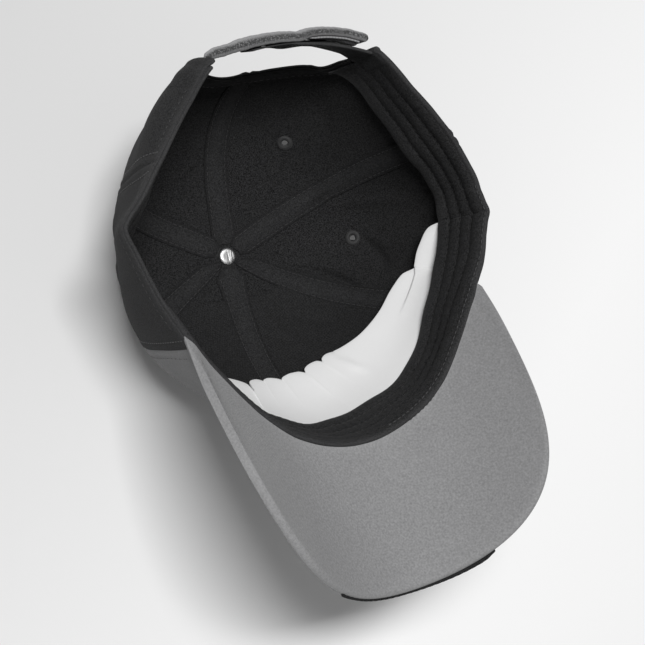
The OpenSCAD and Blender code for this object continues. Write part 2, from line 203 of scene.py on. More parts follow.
def plain_wall(u, lat):
    """Rim point drawn in to the top by the cosine of the latitude to a power, at the sine's depth."""
    x, y = np.moveaxis(rim(u), -1, 0)
    k = np.cos(np.radians(lat)) ** power(u)
    return np.stack([x * k, TOP_Y + (y - TOP_Y) * k, -CROWN_H * np.sin(np.radians(lat))], -1)


def outward(surface, u, lat):
    """Unit normal out of the crown, from the surface's slopes along and across."""
    h = np.minimum(LAT_STEP, (90 - lat) / 2)
    across = surface(u + STATION_STEP, lat) - surface(u - STATION_STEP, lat)
    return unit(np.cross(surface(u, lat + h) - surface(u, lat - h), across))


print("wall at the side, half way up:", plain_wall(BACK / 2, lat_at(CROWN_H / 2)).round(1))

# %% [markdown]
# ## Slack in the cloth
# The CAD crown is as smooth as on a hat form. The real one has been folded flat and has gone soft: both
# sides keep a crease at the widest point, the left wall has fallen in, and the cloth wrinkles between the
# seams. A displacement texture could do this, but then the tapes and stitches would not follow. So the
# slack is part of the surface.

# %% Slack
# Soft dents: station, depth, and how far out the cloth stands
DENTS = ((-1.5, 42, -1.9), (-1.5, 70, 5.5), (-2.2, 42, 2.7), (-2.2, 70, 1.4), (-3, 42, -3.2), (-3, 70, -9.3),
         (-3.7, 18, -3.8), (-4.5, 18, 6.9), (-4.5, 70, 2.4), (1.38, 30, 5.2))
DENT_STATIONS, DENT_DEPTH, RIM_HOLD = 0.6, 22, 9
# Wrinkles: start and end as station and depth, width, and height
WRINKLES = ((2.72, 88, 2.34, 73, 2.8, 3.2), (2.26, 102, 2.05, 86, 2.2, 4.2), (3.5, 92, 3.2, 60, 4, -0.9),
            (3.9, 99, 4.1, 84, 2.6, -1.4), (4.45, 80, 4.9, 60, 5, 0.9), (5.6, 72, 5.2, 88, 5, -0.8),
            (1.2, 96, 1.5, 84, 3, 0.8), (-2.6, 88, -3.6, 50, 5, 1.6), (-3.4, 92, -4.2, 62, 5, -1.4),
            (-4.6, 84, -5.4, 66, 5, 1.0), (0.7, 100, 0.9, 82, 3.4, -0.7), (-0.9, 98, -1.3, 70, 4, -0.9),
            (-5.4, 46, -5.9, 47, 11, -2.6), (5.26, 40, 5.2, 28, 4, -2.4))
STATION_MM = 34
# How far the soft rim stands out: station, and millimetres; both sides keep a sharp fold
RIM_MOVES = np.array([
    (-6, 0), (-5, 0), (-4.89, -0.6), (-4.64, -1.4), (-4.28, -0.3), (-3.9, 0.9), (-3.6, 1.0), (-3.39, 2.6),
    (-3.21, 5.4), (-3.125, 6.4), (-3.04, 5.0), (-2.93, 3.1), (-2.79, 1.8), (-2.58, 1.1), (-2.3, 1.2),
    (-2.05, 0.6), (-1.9, 0.6), (-1.7, 0.6), (-1.47, -0.2), (-1.24, -0.3), (-1, 0.4), (-0.82, 1.2),
    (-0.68, 1.8), (-0.45, 1.4), (-0.25, 0.6), (0, -0.3), (0.32, -0.2), (0.53, 0.1), (0.78, 0.4),
    (1.02, -0.5), (1.17, -1.4), (1.43, -2.5), (1.74, -3), (1.96, -2.3), (2.2, -1.4), (2.35, -1.9),
    (2.5, -2.8), (2.68, -2.6), (2.775, -1.2), (2.87, -3.6), (3.07, -5.4), (3.5, -4.3), (3.7, -3),
    (3.95, -1.2), (4.28, -1.4), (4.54, -2.4), (4.76, -1.4), (5, 0), (6, 0)])
RIM_SOFT, RIM_REACH, RIM_POINTS = 0.045, 34, 1201
# Share of a wrinkle's length that is cut off at each end of the half sine it fades by
RIDGE_END = 0.05


def round_to(u, station):
    """Stations from one place to another, the short way round."""
    return np.mod(u - station + BACK, STATIONS) - BACK


def rim_line():
    """The rim's moves at many stations, each an average over its neighbours weighted by a bell."""
    at = even(-BACK, BACK, RIM_POINTS)
    weight = bell(at[:, None] - at[None, :], RIM_SOFT)
    return at, weight @ np.interp(at, *RIM_MOVES.T) / weight.sum(1)


RIM_LINE = rim_line()


def slack(u, depth):
    """Sum of bell-shaped dents, ridges along short lines, and the rim's moves, which fade with the depth."""
    out = sum(mm * bell(round_to(u, s), DENT_STATIONS) * bell(depth - d, DENT_DEPTH) for s, d, mm in DENTS)
    out = out * (1 - bell(depth, RIM_HOLD))
    for u0, d0, u1, d1, width, mm in WRINKLES:
        x, y = round_to(u, u0) * STATION_MM, depth - d0
        dx, dy = (u1 - u0) * STATION_MM, d1 - d0
        t = np.clip((x * dx + y * dy) / (dx * dx + dy * dy), 0, 1)
        fade = np.sqrt(np.sin(np.pi * (RIDGE_END + (1 - 2 * RIDGE_END) * t)))
        out = out + mm * bell(np.hypot(x - t * dx, y - t * dy), width) * fade
    return out + np.interp(round_to(u, 0), *RIM_LINE) * bell(np.maximum(depth, 0), RIM_REACH)


print("the rim stands out by up to", round(float(RIM_LINE[1].max()), 1), "mm")


# %% Layers of the crown
def wall(u, lat):
    """Inside of the panels: the plain wall moved out by the slack."""
    u, lat = arrays(u, lat)
    depth = CROWN_H * np.sin(np.radians(lat))
    return plain_wall(u, lat) + slack(u, depth)[..., None] * outward(plain_wall, u, lat)


def layer(u, lat, d):
    """Point at a distance d outside the inside of the panels."""
    u, lat, d = arrays(u, lat, d)
    return wall(u, lat) + d[..., None] * outward(wall, u, lat)


def station_mm(u, lat):
    """Millimetres of cloth in one station."""
    across = wall(u + STATION_STEP, lat) - wall(u - STATION_STEP, lat)
    return np.linalg.norm(across, axis=-1) / (2 * STATION_STEP)


def lat_near_top(u, r):
    """Latitude at which the panels have closed in to a radius."""
    reach = np.linalg.norm(rim(u) - (0, TOP_Y), axis=-1)
    return np.degrees(np.arccos((r / reach) ** (1 / power(u))))


def lat_share(u, low, high, s):
    """Latitude at a share of the way, spread evenly over the cloth by the profile's own power."""
    p = power(u)
    a, b = (1 - low / 90) ** p, (1 - high / 90) ** p
    return 90 * (1 - (a + (b - a) * s) ** (1 / p))


print("rim at the front, with its slack:", wall(0, 0).round(1))


# %% Arch of the back opening
def arch_at(u):
    """Height of the back opening's arch: a rounded superellipse over the stations of the strap."""
    x = np.minimum(1, np.abs(np.abs(u) - BACK) / (BACK - STRAP_END))
    return ARCH_H * (1 - x ** ARCH_POWER) ** (1 / ARCH_POWER)


def arch_station(depth):
    """Station at which the arch's edge has reached a depth, on the wearer's right."""
    return BACK - (BACK - STRAP_END) * (1 - (depth / ARCH_H) ** ARCH_POWER) ** (1 / ARCH_POWER)


def signed_power(x, p):
    """Power of a number's size, with its sign kept."""
    return np.sign(x) * np.abs(x) ** p


def arch_ring(turn, grow):
    """Station and depth on the arch, grown by some millimetres, at an angle of its superellipse."""
    reach = BACK - STRAP_END + grow / station_mm(STRAP_END, 0)
    u = BACK - reach * signed_power(np.cos(turn), 2 / ARCH_POWER)
    return u, (ARCH_H + grow) * np.sin(turn) ** (2 / ARCH_POWER)


print("arch, half way up: station", round(float(arch_station(ARCH_H / 2)), 2))

# %% [markdown]
# ## Shader sums in Python
# A material is a graph of nodes. Written node by node it is long and hard to read, so one small class wraps
# a socket and lets Python's own operators add the Math nodes. A second one makes any other node and the
# finished shader.


# %% Shader helpers
class Value:
    """A socket in a material. Operators on it add Math nodes, so 1 - mask works as it reads."""

    def __init__(self, finish, socket):
        self.finish, self.socket = finish, socket

    def math(self, operation, a, b=0.0):
        """Adds a Math node for two values."""
        return self.finish.node("ShaderNodeMath", {"operation": operation}, {0: a, 1: b})

    def __add__(self, other):
        return self.math("ADD", self, other)

    def __sub__(self, other):
        return self.math("SUBTRACT", self, other)

    def __rsub__(self, other):
        return self.math("SUBTRACT", other, self)

    def __mul__(self, other):
        return self.math("MULTIPLY", self, other)

    def __pow__(self, other):
        return self.math("POWER", self, other)

    __radd__, __rmul__ = __add__, __mul__

    def sine(self, period):
        """Sine of a length, with one wave to each period."""
        return self.math("SINE", self * (TAU / period))

    def wave(self, period):
        """That sine, from 0 to 1."""
        return self.sine(period) * 0.5 + 0.5

    def between(self, low, high):
        """A value that goes from 0 to 1, made to go from low to high."""
        return self * (high - low) + low

    def drawn_out(self, gain, middle=0.5):
        """A noise with its differences from one half multiplied."""
        return (self - 0.5) * gain + middle

    def clamped(self):
        """Cut off below 0 and above 1."""
        return self.finish.node("ShaderNodeClamp", {}, {0: self})


print("sums on a socket:", "+ - * **")


# %% Materials
class Finish:
    """A material under construction."""

    def __init__(self, name):
        self.material = bpy.data.materials.new(name)
        self.material.use_nodes = True
        self.tree = self.material.node_tree
        self.tree.nodes.clear()

    def node(self, kind, settings, inputs, out=0):
        """Adds a node, sets its settings first, then fills or links its inputs, and returns one output."""
        made = self.tree.nodes.new(kind)
        for key, value in settings.items():
            setattr(made, key, value)
        for key, value in inputs.items():
            if isinstance(value, Value):
                self.tree.links.new(value.socket, made.inputs[key])
            else:
                made.inputs[key].default_value = value
        return Value(self, made.outputs[out]) if len(made.outputs) else None

    def cloth_axes(self):
        """Millimetres along and across the cloth, from the piece's own map."""
        uv = self.node("ShaderNodeUVMap", {"uv_map": "cloth"}, {})
        return tuple(self.node("ShaderNodeSeparateXYZ", {}, {0: uv}, k) for k in (0, 1))

    def place(self, scale=(1, 1, 1), turn=(0, 0, 0)):
        """Object coordinates, stretched and turned."""
        at = self.node("ShaderNodeTexCoord", {}, {}, 3)
        return self.node("ShaderNodeMapping", {}, {"Vector": at, "Scale": scale, "Rotation": turn})

    def noise(self, scale, detail, at=None):
        """Cloudy noise from 0 to 1; scale is in cycles per metre."""
        inputs = {"Vector": at or self.place(), "Scale": scale, "Detail": detail}
        return self.node("ShaderNodeTexNoise", {}, inputs)

    def attribute(self, name):
        """A value stored at the points of the mesh."""
        return self.node("ShaderNodeAttribute", {"attribute_name": name}, {}, 2)

    def mix(self, share, a, b):
        """Colour a going to colour b."""
        return self.node("ShaderNodeMix", {"data_type": "RGBA"}, {0: share, 6: rgba(a), 7: rgba(b)}, 2)

    def shades(self, share, colour, dark, light):
        """A colour going from a darker to a lighter multiple of it."""
        return self.mix(share, np.multiply(colour, dark), np.multiply(colour, light))

    def bump(self, height, distance):
        """Normal tilted by a height, over a distance in millimetres."""
        return self.node("ShaderNodeBump", {}, {"Height": height, "Distance": distance * MM})

    def done(self, **sockets):
        """Joins the values to a Principled shader; an underscore in a name stands for a space."""
        inputs = {key.replace("_", " "): value for key, value in sockets.items()}
        shader = self.node("ShaderNodeBsdfPrincipled", {}, inputs)
        self.node("ShaderNodeOutputMaterial", {}, {"Surface": shader})
        return self.material


def rgba(colour):
    """A gray level, or red, green and blue, as the four numbers of a colour socket."""
    if isinstance(colour, Value):
        return colour
    return (*np.broadcast_to(colour, 3).tolist(), 1.0)


print("makers:", [name for name in vars(Finish) if not name.startswith("_")])

# %% [markdown]
# ## Finishes
# The cap is brushed cotton twill in two shades. Twill shows fine diagonal ribs, each cut into yarns. A
# picture of cloth could be tiled over it, but a rib is only a sine across the diagonal of the cloth's own
# map, so the weave is drawn from two sines, some fuzz and a slow blotch, and it is paler where the edges
# have been rubbed.

# %% Cloth
# Shares of the weave, the fuzz and the blotches in the shade of a cloth
WEAVE, FUZZ, BLOTCH = 0.2, 0.6, 0.2
# Cycles per metre of the fuzz on dark cloth, and how much its differences are multiplied
FINE, DARK_GRAIN = 1700, 6
# How strongly cloth reflects at its surface, and the sheen of dark cloth
DULL, DARK_SHEEN = 0.15, 0.02


def twill_cloth(name, colour, contrast, grain=2.2, fine=1100, pitch=0.9, rubbed=0.35, sheen=0.12):
    """Twill: a sine on the cloth's diagonal and a finer one across it for the yarns, with fuzz and fading."""
    f = Finish(name)
    u, v = f.cloth_axes()
    weave = (u + v).wave(pitch) * 0.7 + (u - v).wave(0.55 * pitch) * 0.3
    fuzz = f.noise(fine, 4)
    blotch = f.noise(38, 4)
    shade = weave * WEAVE + fuzz.drawn_out(grain) * FUZZ + blotch * BLOTCH
    base = f.shades(shade, colour, 1 - contrast, 1 + contrast)
    faded = np.multiply(colour, 1.9) + 0.02
    worn = f.mix(f.attribute("edge") * (blotch * rubbed + fuzz * rubbed), base, faded)
    return f.done(Base_Color=worn, Roughness=fuzz.between(0.82, 0.94),
                  Normal=f.bump(weave * 0.6 + fuzz * 0.4, 0.1), Sheen_Weight=sheen, Sheen_Roughness=0.6,
                  Specular_IOR_Level=DULL)


def ribbed_tape(name, colour, pitch=0.7):
    """Narrow woven tape: fine ribs across it, and painted shade that darkens it near its edges."""
    f = Finish(name)
    u, v = f.cloth_axes()
    weave = u.wave(pitch) * 0.65 + v.wave(0.6 * pitch) * 0.35
    fuzz = f.noise(FINE, 4)
    shade = weave * WEAVE + f.noise(60, 3) * BLOTCH + fuzz.drawn_out(DARK_GRAIN) * FUZZ
    base = f.shades(shade, colour, 0.4, 1.6)
    # Painted shade: the tape's colour is darkened near its edges, where shadow lines fall
    sewn = f.mix(f.attribute("edge") * 0.6, base, np.multiply(colour, 0.3))
    return f.done(Base_Color=sewn, Roughness=fuzz.between(0.8, 0.9), Normal=f.bump(weave + fuzz * 0.5, 0.08),
                  Sheen_Weight=DARK_SHEEN, Specular_IOR_Level=DULL)


def buckram_mesh(name, colour, pitch=1.3):
    """Open stiffened weave: two crossed sets of threads with glue between them."""
    f = Finish(name)
    u, v = f.cloth_axes()
    threads = u.wave(pitch) ** 3 * 0.5 + v.wave(pitch) ** 3 * 0.5
    fuzz = f.noise(FINE, 4)
    base = f.shades(threads * 0.4 + fuzz.drawn_out(DARK_GRAIN, 0.6) * 0.6, colour, 0.35, 1.65)
    return f.done(Base_Color=base, Roughness=fuzz.between(0.75, 0.9),
                  Normal=f.bump(threads + fuzz * 0.3, 0.12), Sheen_Weight=DARK_SHEEN, Specular_IOR_Level=0.2)


print("shares of the weave, the fuzz and the blotches:", WEAVE, FUZZ, BLOTCH)

# %% Cloths of the cap
GRAY = np.array((0.225, 0.225, 0.228))
CHARCOAL = np.array((0.016, 0.016, 0.0165))
BLACK = np.array((0.0165, 0.0165, 0.017))
dark = {"fine": FINE, "sheen": DARK_SHEEN}
gray_twill = twill_cloth("gray_twill", GRAY, 0.34)
# The front panels are a darker copy of the visor's gray twill: painted shade
panel_twill_painted_shade = twill_cloth("gray_twill_panels", GRAY * 0.7, 0.34)
# The dark panels' outside and inside are one cloth: the outside is a lighter copy as painted light, the
# inside a darker copy as painted shade
dark_twill = twill_cloth("charcoal_twill", CHARCOAL * 1.2, 0.75, 5.5, **dark)
inside_twill = twill_cloth("charcoal_twill_inside", CHARCOAL * 0.96, 0.85, DARK_GRAIN, pitch=1.0, rubbed=0.15,
                           **dark)
band_cloth = twill_cloth("sweatband_cloth", BLACK * 1.15, 0.85, DARK_GRAIN, pitch=0.8, rubbed=0.9, **dark)
seam_cloth = ribbed_tape("seam_tape_cloth", CHARCOAL * 1.38)
stiffener = buckram_mesh("buckram", CHARCOAL * 0.88)
print("cloths:", [look.name for look in (gray_twill, dark_twill, band_cloth, seam_cloth, stiffener)])


# %% Thread
def thread_finish(name, colour, twist=0.55):
    """Plied thread: slanted stripes along the stitch, with each stitch a little lighter or darker."""
    f = Finish(name)
    u, v = f.cloth_axes()
    ply = (u + v).wave(twist)
    base = f.shades(ply * 0.4 + f.attribute("shade") * 0.6, colour, 0.6, 1.35)
    return f.done(Base_Color=base, Roughness=ply.between(0.55, 0.65), Normal=f.bump(ply, 0.05),
                  Sheen_Weight=0.1)


pale_thread = thread_finish("topstitch_thread", (0.055, 0.055, 0.057))
lining_thread = thread_finish("lining_thread", (0.019, 0.019, 0.0195))
dark_thread = thread_finish("dark_thread", (0.028, 0.028, 0.029))
print("threads:", [look.name for look in (pale_thread, lining_thread, dark_thread)])

# %% [markdown]
# ## Sheets with soft edges
# Nearly every piece is a sheet of cloth: two faces close together, with rounded edges all round. A plane
# with a Solidify modifier has square edges. This function takes the grid of points of each face, adds
# half-round strips at the four edges and closes the whole, so a sheet of any shape comes out as one tight
# skin with its own cloth map.


# %% Mesh maker
def add_piece(name, points, faces, looks, body, nodes, slot, uv, face_look=None, **values):
    """Makes a mesh from points in millimetres, with its map, values and materials, and seats it on a body."""
    mesh = bpy.data.meshes.new(name)
    mesh.from_pydata((points * MM).tolist(), [], faces)
    corner = np.empty(len(mesh.loops), np.int32)
    mesh.loops.foreach_get("vertex_index", corner)
    mesh.uv_layers.new(name="cloth").uv.foreach_set("vector", uv[corner].astype(np.float32).ravel())
    for key, value in values.items():
        mesh.attributes.new(key, "FLOAT", "POINT").data.foreach_set("value", value.astype(np.float32).ravel())
    mesh.polygons.foreach_set("use_smooth", np.ones(len(mesh.polygons), bool))
    for look in looks:
        mesh.materials.append(look)
    if face_look is not None:
        mesh.polygons.foreach_set("material_index", face_look.astype(np.int32))
    mesh.update()
    piece = add_object(name, mesh)
    if body is not None:
        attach(piece, body)
    if nodes:
        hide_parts(*nodes)
    return piece


def along(points, axis):
    """Length run along one axis of a grid, with 0 at the grid's middle."""
    step = np.linalg.norm(np.diff(points, axis=axis), axis=-1)
    run = np.insert(np.cumsum(step, axis=axis), 0, 0, axis=axis)
    return run - np.take(run, [run.shape[axis] // 2], axis=axis)


print("box to fill, in metres:", [round(x, 3) for x in (*cad_low, *cad_high)])

# %% Rounded edges
END_TURNS = np.radians([30, 60, 80])
EDGE_TURNS = np.radians([36, 72, 108, 144])


def carried_round(grid):
    """Values of a grid taken round a sheet: over one face, an edge, the other face and the other edge."""
    flat = np.ones((1, len(EDGE_TURNS)))
    return np.concatenate([grid, grid[:, -1:] * flat, grid[:, ::-1], grid[:, :1] * flat], 1)


def rounded(mid, half):
    """Loop of points round each row of a sheet. Past each end the middle goes on by the half thickness times
    the sine of a turn, and the thickness shrinks by its cosine; along both sides a half turn joins them."""
    turns = END_TURNS[:, None, None]
    ends = []
    for first, second in ((0, 1), (-1, -2)):
        way = unit(mid[first] - mid[second]) * np.linalg.norm(half[first], axis=-1, keepdims=True)
        ends.append((mid[first] + way * np.sin(turns), half[first] * np.cos(turns)))
    mid = np.concatenate([ends[0][0][::-1], mid, ends[1][0]])
    half = np.concatenate([ends[0][1][::-1], half, ends[1][1]])
    turns = EDGE_TURNS[None, :, None]
    arcs = []
    for edge, inner, sign in ((-1, -2, 1), (0, 1, -1)):
        way = unit(mid[:, edge] - mid[:, inner]) * np.linalg.norm(half[:, edge], axis=-1, keepdims=True)
        arcs.append(mid[:, [edge]] + sign * half[:, [edge]] * np.cos(turns) + way[:, None] * np.sin(turns))
    return np.concatenate([mid + half, arcs[0], (mid - half)[:, ::-1], arcs[1]], axis=1), mid, half


print("sheet edges:", len(EDGE_TURNS), "turns at the sides,", len(END_TURNS), "at the ends")

# %% Sheet maker
# How far in from an edge the edge value reaches, which fades twill as wear and darkens tape as painted shade,
# and where round the edge its core starts to show and shows fully
EDGE_WEAR_AND_SHADE_REACH, CORE_FROM, CORE_OVER = 2.2, 0.55, 0.35


def sheet(name, top, under, looks, slot, body="crown", holes=()):
    """Closed sheet between two grids, in place of the node of its name. The loops round its rows are joined
    by four-sided faces, the ends are filled, and a hole's cell is left out of both faces and walled round."""
    loop, mid, half = rounded((top + under) / 2, (top - under) / 2)
    ni, nj = mid.shape[:2]
    size, na = loop.shape[1], len(EDGE_TURNS)
    index = np.arange(ni * size).reshape(ni, size)
    follow = np.roll(index, -1, axis=1)
    quads = np.stack([index[:-1], index[1:], follow[1:], follow[:-1]], -1)
    kept = np.ones(quads.shape[:2], bool)
    back = nj + na + np.arange(nj)[::-1]
    closing = []
    for row, order in ((0, 1), (-1, -1)):
        ring = index[row]
        caps = np.stack([ring[:nj - 1], ring[1:nj], ring[back[1:]], ring[back[:-1]]], -1)
        sides = (ring[nj - 1:nj + na + 1], np.append(ring[2 * nj + na - 1:], ring[0]))
        closing += [face[::order].tolist() for face in (*caps, *sides)]
    for i, j in holes:
        i = i + len(END_TURNS)
        kept[i, j] = kept[i, back[j + 1]] = False
        ring = [(i, j), (i + 1, j), (i + 1, j + 1), (i, j + 1), (i, j)]
        closing += [[int(k) for k in (index[a, b], index[c, d], index[c, back[d]], index[a, back[b]])]
                    for (a, b), (c, d) in zip(ring[:-1], ring[1:])]
    faces = quads[kept].tolist() + closing
    a, b, c = (loop[ni // 2 + di, nj // 2 + dj] for di, dj in ((0, 0), (1, 0), (1, 1)))
    if np.cross(b - a, c - a) @ half[ni // 2, nj // 2] < 0:
        faces = [face[::-1] for face in faces]
    side = np.zeros((ni - 1, size), int)
    side[:, nj + na - 1:2 * nj + na] = len(looks) - 1
    run = along(mid, 1)
    # Distance from the nearest edge: twill is faded near it as wear, tape is darkened near it as painted
    # shade
    rubbed = carried_round(np.minimum(run - run[:, :1], run[:, -1:] - run))
    core = np.zeros((ni, size))
    core[:, nj:nj + na] = smooth((np.sin(EDGE_TURNS) - CORE_FROM) / CORE_OVER)
    uv = np.stack([carried_round(along(mid, 0)), carried_round(run)], -1).reshape(-1, 2)
    face_look = np.append(side[kept], np.zeros(len(closing)))
    return add_piece(name, loop.reshape(-1, 3), faces, looks, body, (name,), slot, uv, face_look,
                     edge=np.exp(-rubbed / EDGE_WEAR_AND_SHADE_REACH), core=core)


print("edges are rubbed within", EDGE_WEAR_AND_SHADE_REACH, "mm")

# %% [markdown]
# ## Panels
# A panel is a pointed piece of cloth that runs from the rim, or from the arch of the back opening, to the
# top. One sheet could be bent over a form and cut into six, but every panel has two seams of its own, so
# each gets its own grid between two stations. Beside a seam the cloth is doubled, so it has a low welt
# there, a valley on the seam itself and a dip under each row of topstitching.

# %% Seams and eyelets
TOPSTITCH_IN, SEAM_HALF = 4.8, 0.12
# Welt beside a seam, valley on it, dip under the topstitch: height, distance from the seam, and reach
SEAM_RELIEF = ((0.35, 2.2, 1.9), (-0.4, 0, 0.7), (-0.25, TOPSTITCH_IN, 0.7))
# Puckers along the topstitch
PUCKER_H, PUCKER_L, PUCKER_REACH = 0.14, 5.5, 2.6
# Stations of the seams as they lie now that the cloth has shifted
SEAM_AT = {0: 0, FRONT_SIDE: 1.87, -FRONT_SIDE: -1.85, BACK_SIDE: 3.92, -BACK_SIDE: -4.0, BACK: 6, -BACK: -6}
EYELETS = {"side": 2.8, "back": 4.8}
EYELET_DROP, EYELET_D = 14, 3
HOLE_R, HOLE_REACH = 1.9, 9


def seam_relief(s):
    """Sum of the welt, the valley and the dip, s millimetres from the seam."""
    return sum(mm * bell(s - at, reach) for mm, at, reach in SEAM_RELIEF)


def eyelet_frame(u):
    """Middle of an eyelet in the cloth, and its axis out of the crown."""
    lat = lat_at(CROWN_H - EYELET_DROP)
    return layer(u, lat, PANEL_T / 2), outward(wall, u, lat)


def opened(grid, centre, axis):
    """Moves the cloth near an eyelet away from its axis, so that the middle is free."""
    off = grid - centre
    flat = off - (off @ axis)[..., None] * axis
    r = np.linalg.norm(flat, axis=-1, keepdims=True)
    wide = np.where(r < HOLE_REACH, HOLE_R + (HOLE_REACH - HOLE_R) * r / HOLE_REACH, r)
    return grid + flat / np.maximum(r, 1e-6) * (wide - r)


print("cloth beside a seam:", seam_relief(even(0, TOPSTITCH_IN, 3)).round(2), "mm")

# %% Panels
PANEL_COLS, PANEL_ROWS = 72, 80


def panel_stations(low, high):
    """Even stations, but crowded to the steep ends of the arch where a panel has half of it."""
    if max(abs(low), abs(high)) < BACK:
        return even(low, high, PANEL_COLS)
    side = np.sign(low + high)
    beside = even(min(abs(low), abs(high)), STRAP_END, PANEL_COLS // 2)
    over = BACK - (BACK - STRAP_END) * np.cos(np.radians(even(0, 90, PANEL_COLS // 2 + 1)[1:]))
    return np.sort(side * np.concatenate([beside, over]))


def panel(name, low, high, outside, slot, eyelet=None):
    """Panel between two seams, with its edges drawn back by half the seam."""
    low, high = SEAM_AT[low], SEAM_AT[high]
    u = panel_stations(low, high)[:, None]
    lat = lat_share(u, lat_at(arch_at(u)), lat_near_top(u, TIP_R), even(0, 1, PANEL_ROWS)[None, :])
    draw = SEAM_HALF / station_mm(np.array([[low], [high]]), lat[[0, -1]])
    share = (u - low) / (high - low)
    u = u + draw[:1] * (1 - share) - draw[1:] * share
    from_seam = np.minimum(u - low, high - u) * station_mm(u, lat)
    pucker = PUCKER_H * np.sin(along(wall(u, lat), 1) * TAU / PUCKER_L)
    pucker = pucker * bell(from_seam - TOPSTITCH_IN, PUCKER_REACH)
    top = layer(u, lat, PANEL_T + seam_relief(from_seam) + pucker)
    under = layer(u, lat, pucker)
    holes = []
    if eyelet is not None:
        centre, axis = eyelet_frame(eyelet)
        cells = (top[:-1, :-1] + top[1:, :-1] + top[1:, 1:] + top[:-1, 1:]) / 4
        holes = [np.unravel_index(np.linalg.norm(cells - centre, axis=-1).argmin(), cells.shape[:2])]
        top, under = opened(top, centre, axis), opened(under, centre, axis)
    return sheet(name, top, under, [outside, inside_twill], slot, holes=holes)


panel("front_right_panel", 0, FRONT_SIDE, panel_twill_painted_shade, "cloth_gray")
panel("front_left_panel", -FRONT_SIDE, 0, panel_twill_painted_shade, "cloth_gray")
for part, low, high in (("side", FRONT_SIDE, BACK_SIDE), ("back", BACK_SIDE, BACK)):
    panel(f"{part}_right_panel", low, high, dark_twill, "cloth_dark", EYELETS[part])
    panel(f"{part}_left_panel", -high, -low, dark_twill, "cloth_dark", -EYELETS[part])
print("panels:", 2 + 2 * len(EYELETS), "of", PANEL_COLS, "by", PANEL_ROWS, "points")

# %% [markdown]
# ## Lining: stiffeners and seam tapes
# Behind the gray front panels lies a stiff open cloth, the buckram. A woven tape is sewn over each seam
# with a row of stitches near both of its edges; the folded seam under it lifts its middle. Both could be
# copies of the panels moved inwards, but a tape follows its seam and not the edge of a panel, so its width
# is counted in millimetres from the seam.

# %% Stiffeners
LAYER_GAP, BEND_GAP, MOVE_GAP = 0.3, 0.6, 0.4
BUCKRAM_T, BUCKRAM_END_R, TAPE_W = 0.8, 26, 12
BUCKRAM_GRID = (50, 60)


def buckram(name, side):
    """Sheet between the tapes of a front panel, from the rim to a ring round the top."""
    cols, rows = BUCKRAM_GRID
    lat = lat_share(side, lat_at(LAYER_GAP), lat_near_top(side, BUCKRAM_END_R), even(0, 1, rows)[None, :])
    edge = TAPE_W / 2 + LAYER_GAP
    seam = SEAM_AT[side * FRONT_SIDE]
    low, high = edge / station_mm(0, lat), abs(seam) - edge / station_mm(seam, lat)
    u = side * (low + (high - low) * even(0, 1, cols)[:, None])
    top, under = (layer(u, lat, d) for d in (-LAYER_GAP - BUCKRAM_T, -LAYER_GAP))
    return sheet(name, top, under, [stiffener], "lining_black")


buckram("front_right_buckram", 1)
buckram("front_left_buckram", -1)
print("stiffeners:", 2, "of", BUCKRAM_GRID[0], "by", BUCKRAM_GRID[1], "points")

# %% Seam tapes
TAPE_T, TAPE_LOOK_T, TAPE_TIP_R, TAPE_NARROW = 0.8, 0.4, 6.5, 0.54
# Lift over the folded seam, and dip under the stitches: height and reach
TAPE_LIFT, TAPE_DIP = (0.35, 2.6), (0.2, 0.6)
# Ripple of a tape's edges: height, length, distance from the seam and reach
RIPPLE_H, RIPPLE_L, RIPPLE_AT, RIPPLE_REACH = 0.1, 4.7, 5.4, 1.0
BINDING_W = 8
TAPE_GRID = (110, 25)


def seam_tape(name, u0, from_depth):
    """Tape along one seam: flat at its edges, lifted in the middle, with a dip under each row of stitches.
    Near the top it narrows, so that the six tapes meet round the rivet."""
    u0 = SEAM_AT[u0]
    rows, cols = TAPE_GRID
    lat = lat_share(u0, lat_at(from_depth), lat_near_top(u0, TAPE_TIP_R), even(0, 1, rows)[:, None])
    seam = wall(u0, lat)
    from_axis = np.linalg.norm(seam[..., :2] - (0, TOP_Y), axis=-1)
    x = even(-1, 1, cols)[None, :] * np.minimum(TAPE_W / 2, TAPE_NARROW * from_axis)
    u = u0 + x / station_mm(u0, lat)
    (lift, lift_reach), (dip, dip_reach) = TAPE_LIFT, TAPE_DIP
    lift = lift * bell(x, lift_reach) - dip * bell(np.abs(x) - TOPSTITCH_IN, dip_reach)
    ripple = RIPPLE_H * np.sin(along(seam, 0) * TAU / RIPPLE_L + np.sign(x))
    ripple = ripple * bell(np.abs(x) - RIPPLE_AT, RIPPLE_REACH)
    top = layer(u, lat, -LAYER_GAP - TAPE_LOOK_T - lift + ripple)
    return sheet(name, top, layer(u, lat, 0), [seam_cloth], "cloth_dark")


TAPES = {"front_seam_tape": 0, "front_right_seam_tape": FRONT_SIDE, "front_left_seam_tape": -FRONT_SIDE,
         "back_right_seam_tape": BACK_SIDE, "back_left_seam_tape": -BACK_SIDE, "back_seam_tape": BACK}
tape_start = {name: LAYER_GAP for name in TAPES}
tape_start["back_seam_tape"] = ARCH_H + BINDING_W + 3 * LAYER_GAP
for name, station in TAPES.items():
    seam_tape(name, station, tape_start[name])
print("tapes:", len(TAPES))

# %% [markdown]
# ## Sweatband
# The sweatband is a strip of dark cloth, folded over the rim and quilted into lengthwise ribs by three rows
# of stitches. Its free edge leans into the crown. A curve with a bevel could carry its profile, but then
# the profile would be the same all the way. Here a half turn over the rim and a ribbed slope are worked out
# for each station: wider over the visor, and flatter where the insert presses.

# %% Profile of the sweatband
BAND_W, BAND_T, RIB_H, RIBS, RIB_ROUND = 34, 0.9, 1.0, 4, 0.7
BAND_LEAN, BAND_PRESSED, BAND_SLIM, BAND_FADE = 3.6, 1.8, 1.0, 0.9
# Where the insert presses the band flat, and how far that reaches, in stations
PRESSED_AT, PRESSED_REACH = 1, 0.7
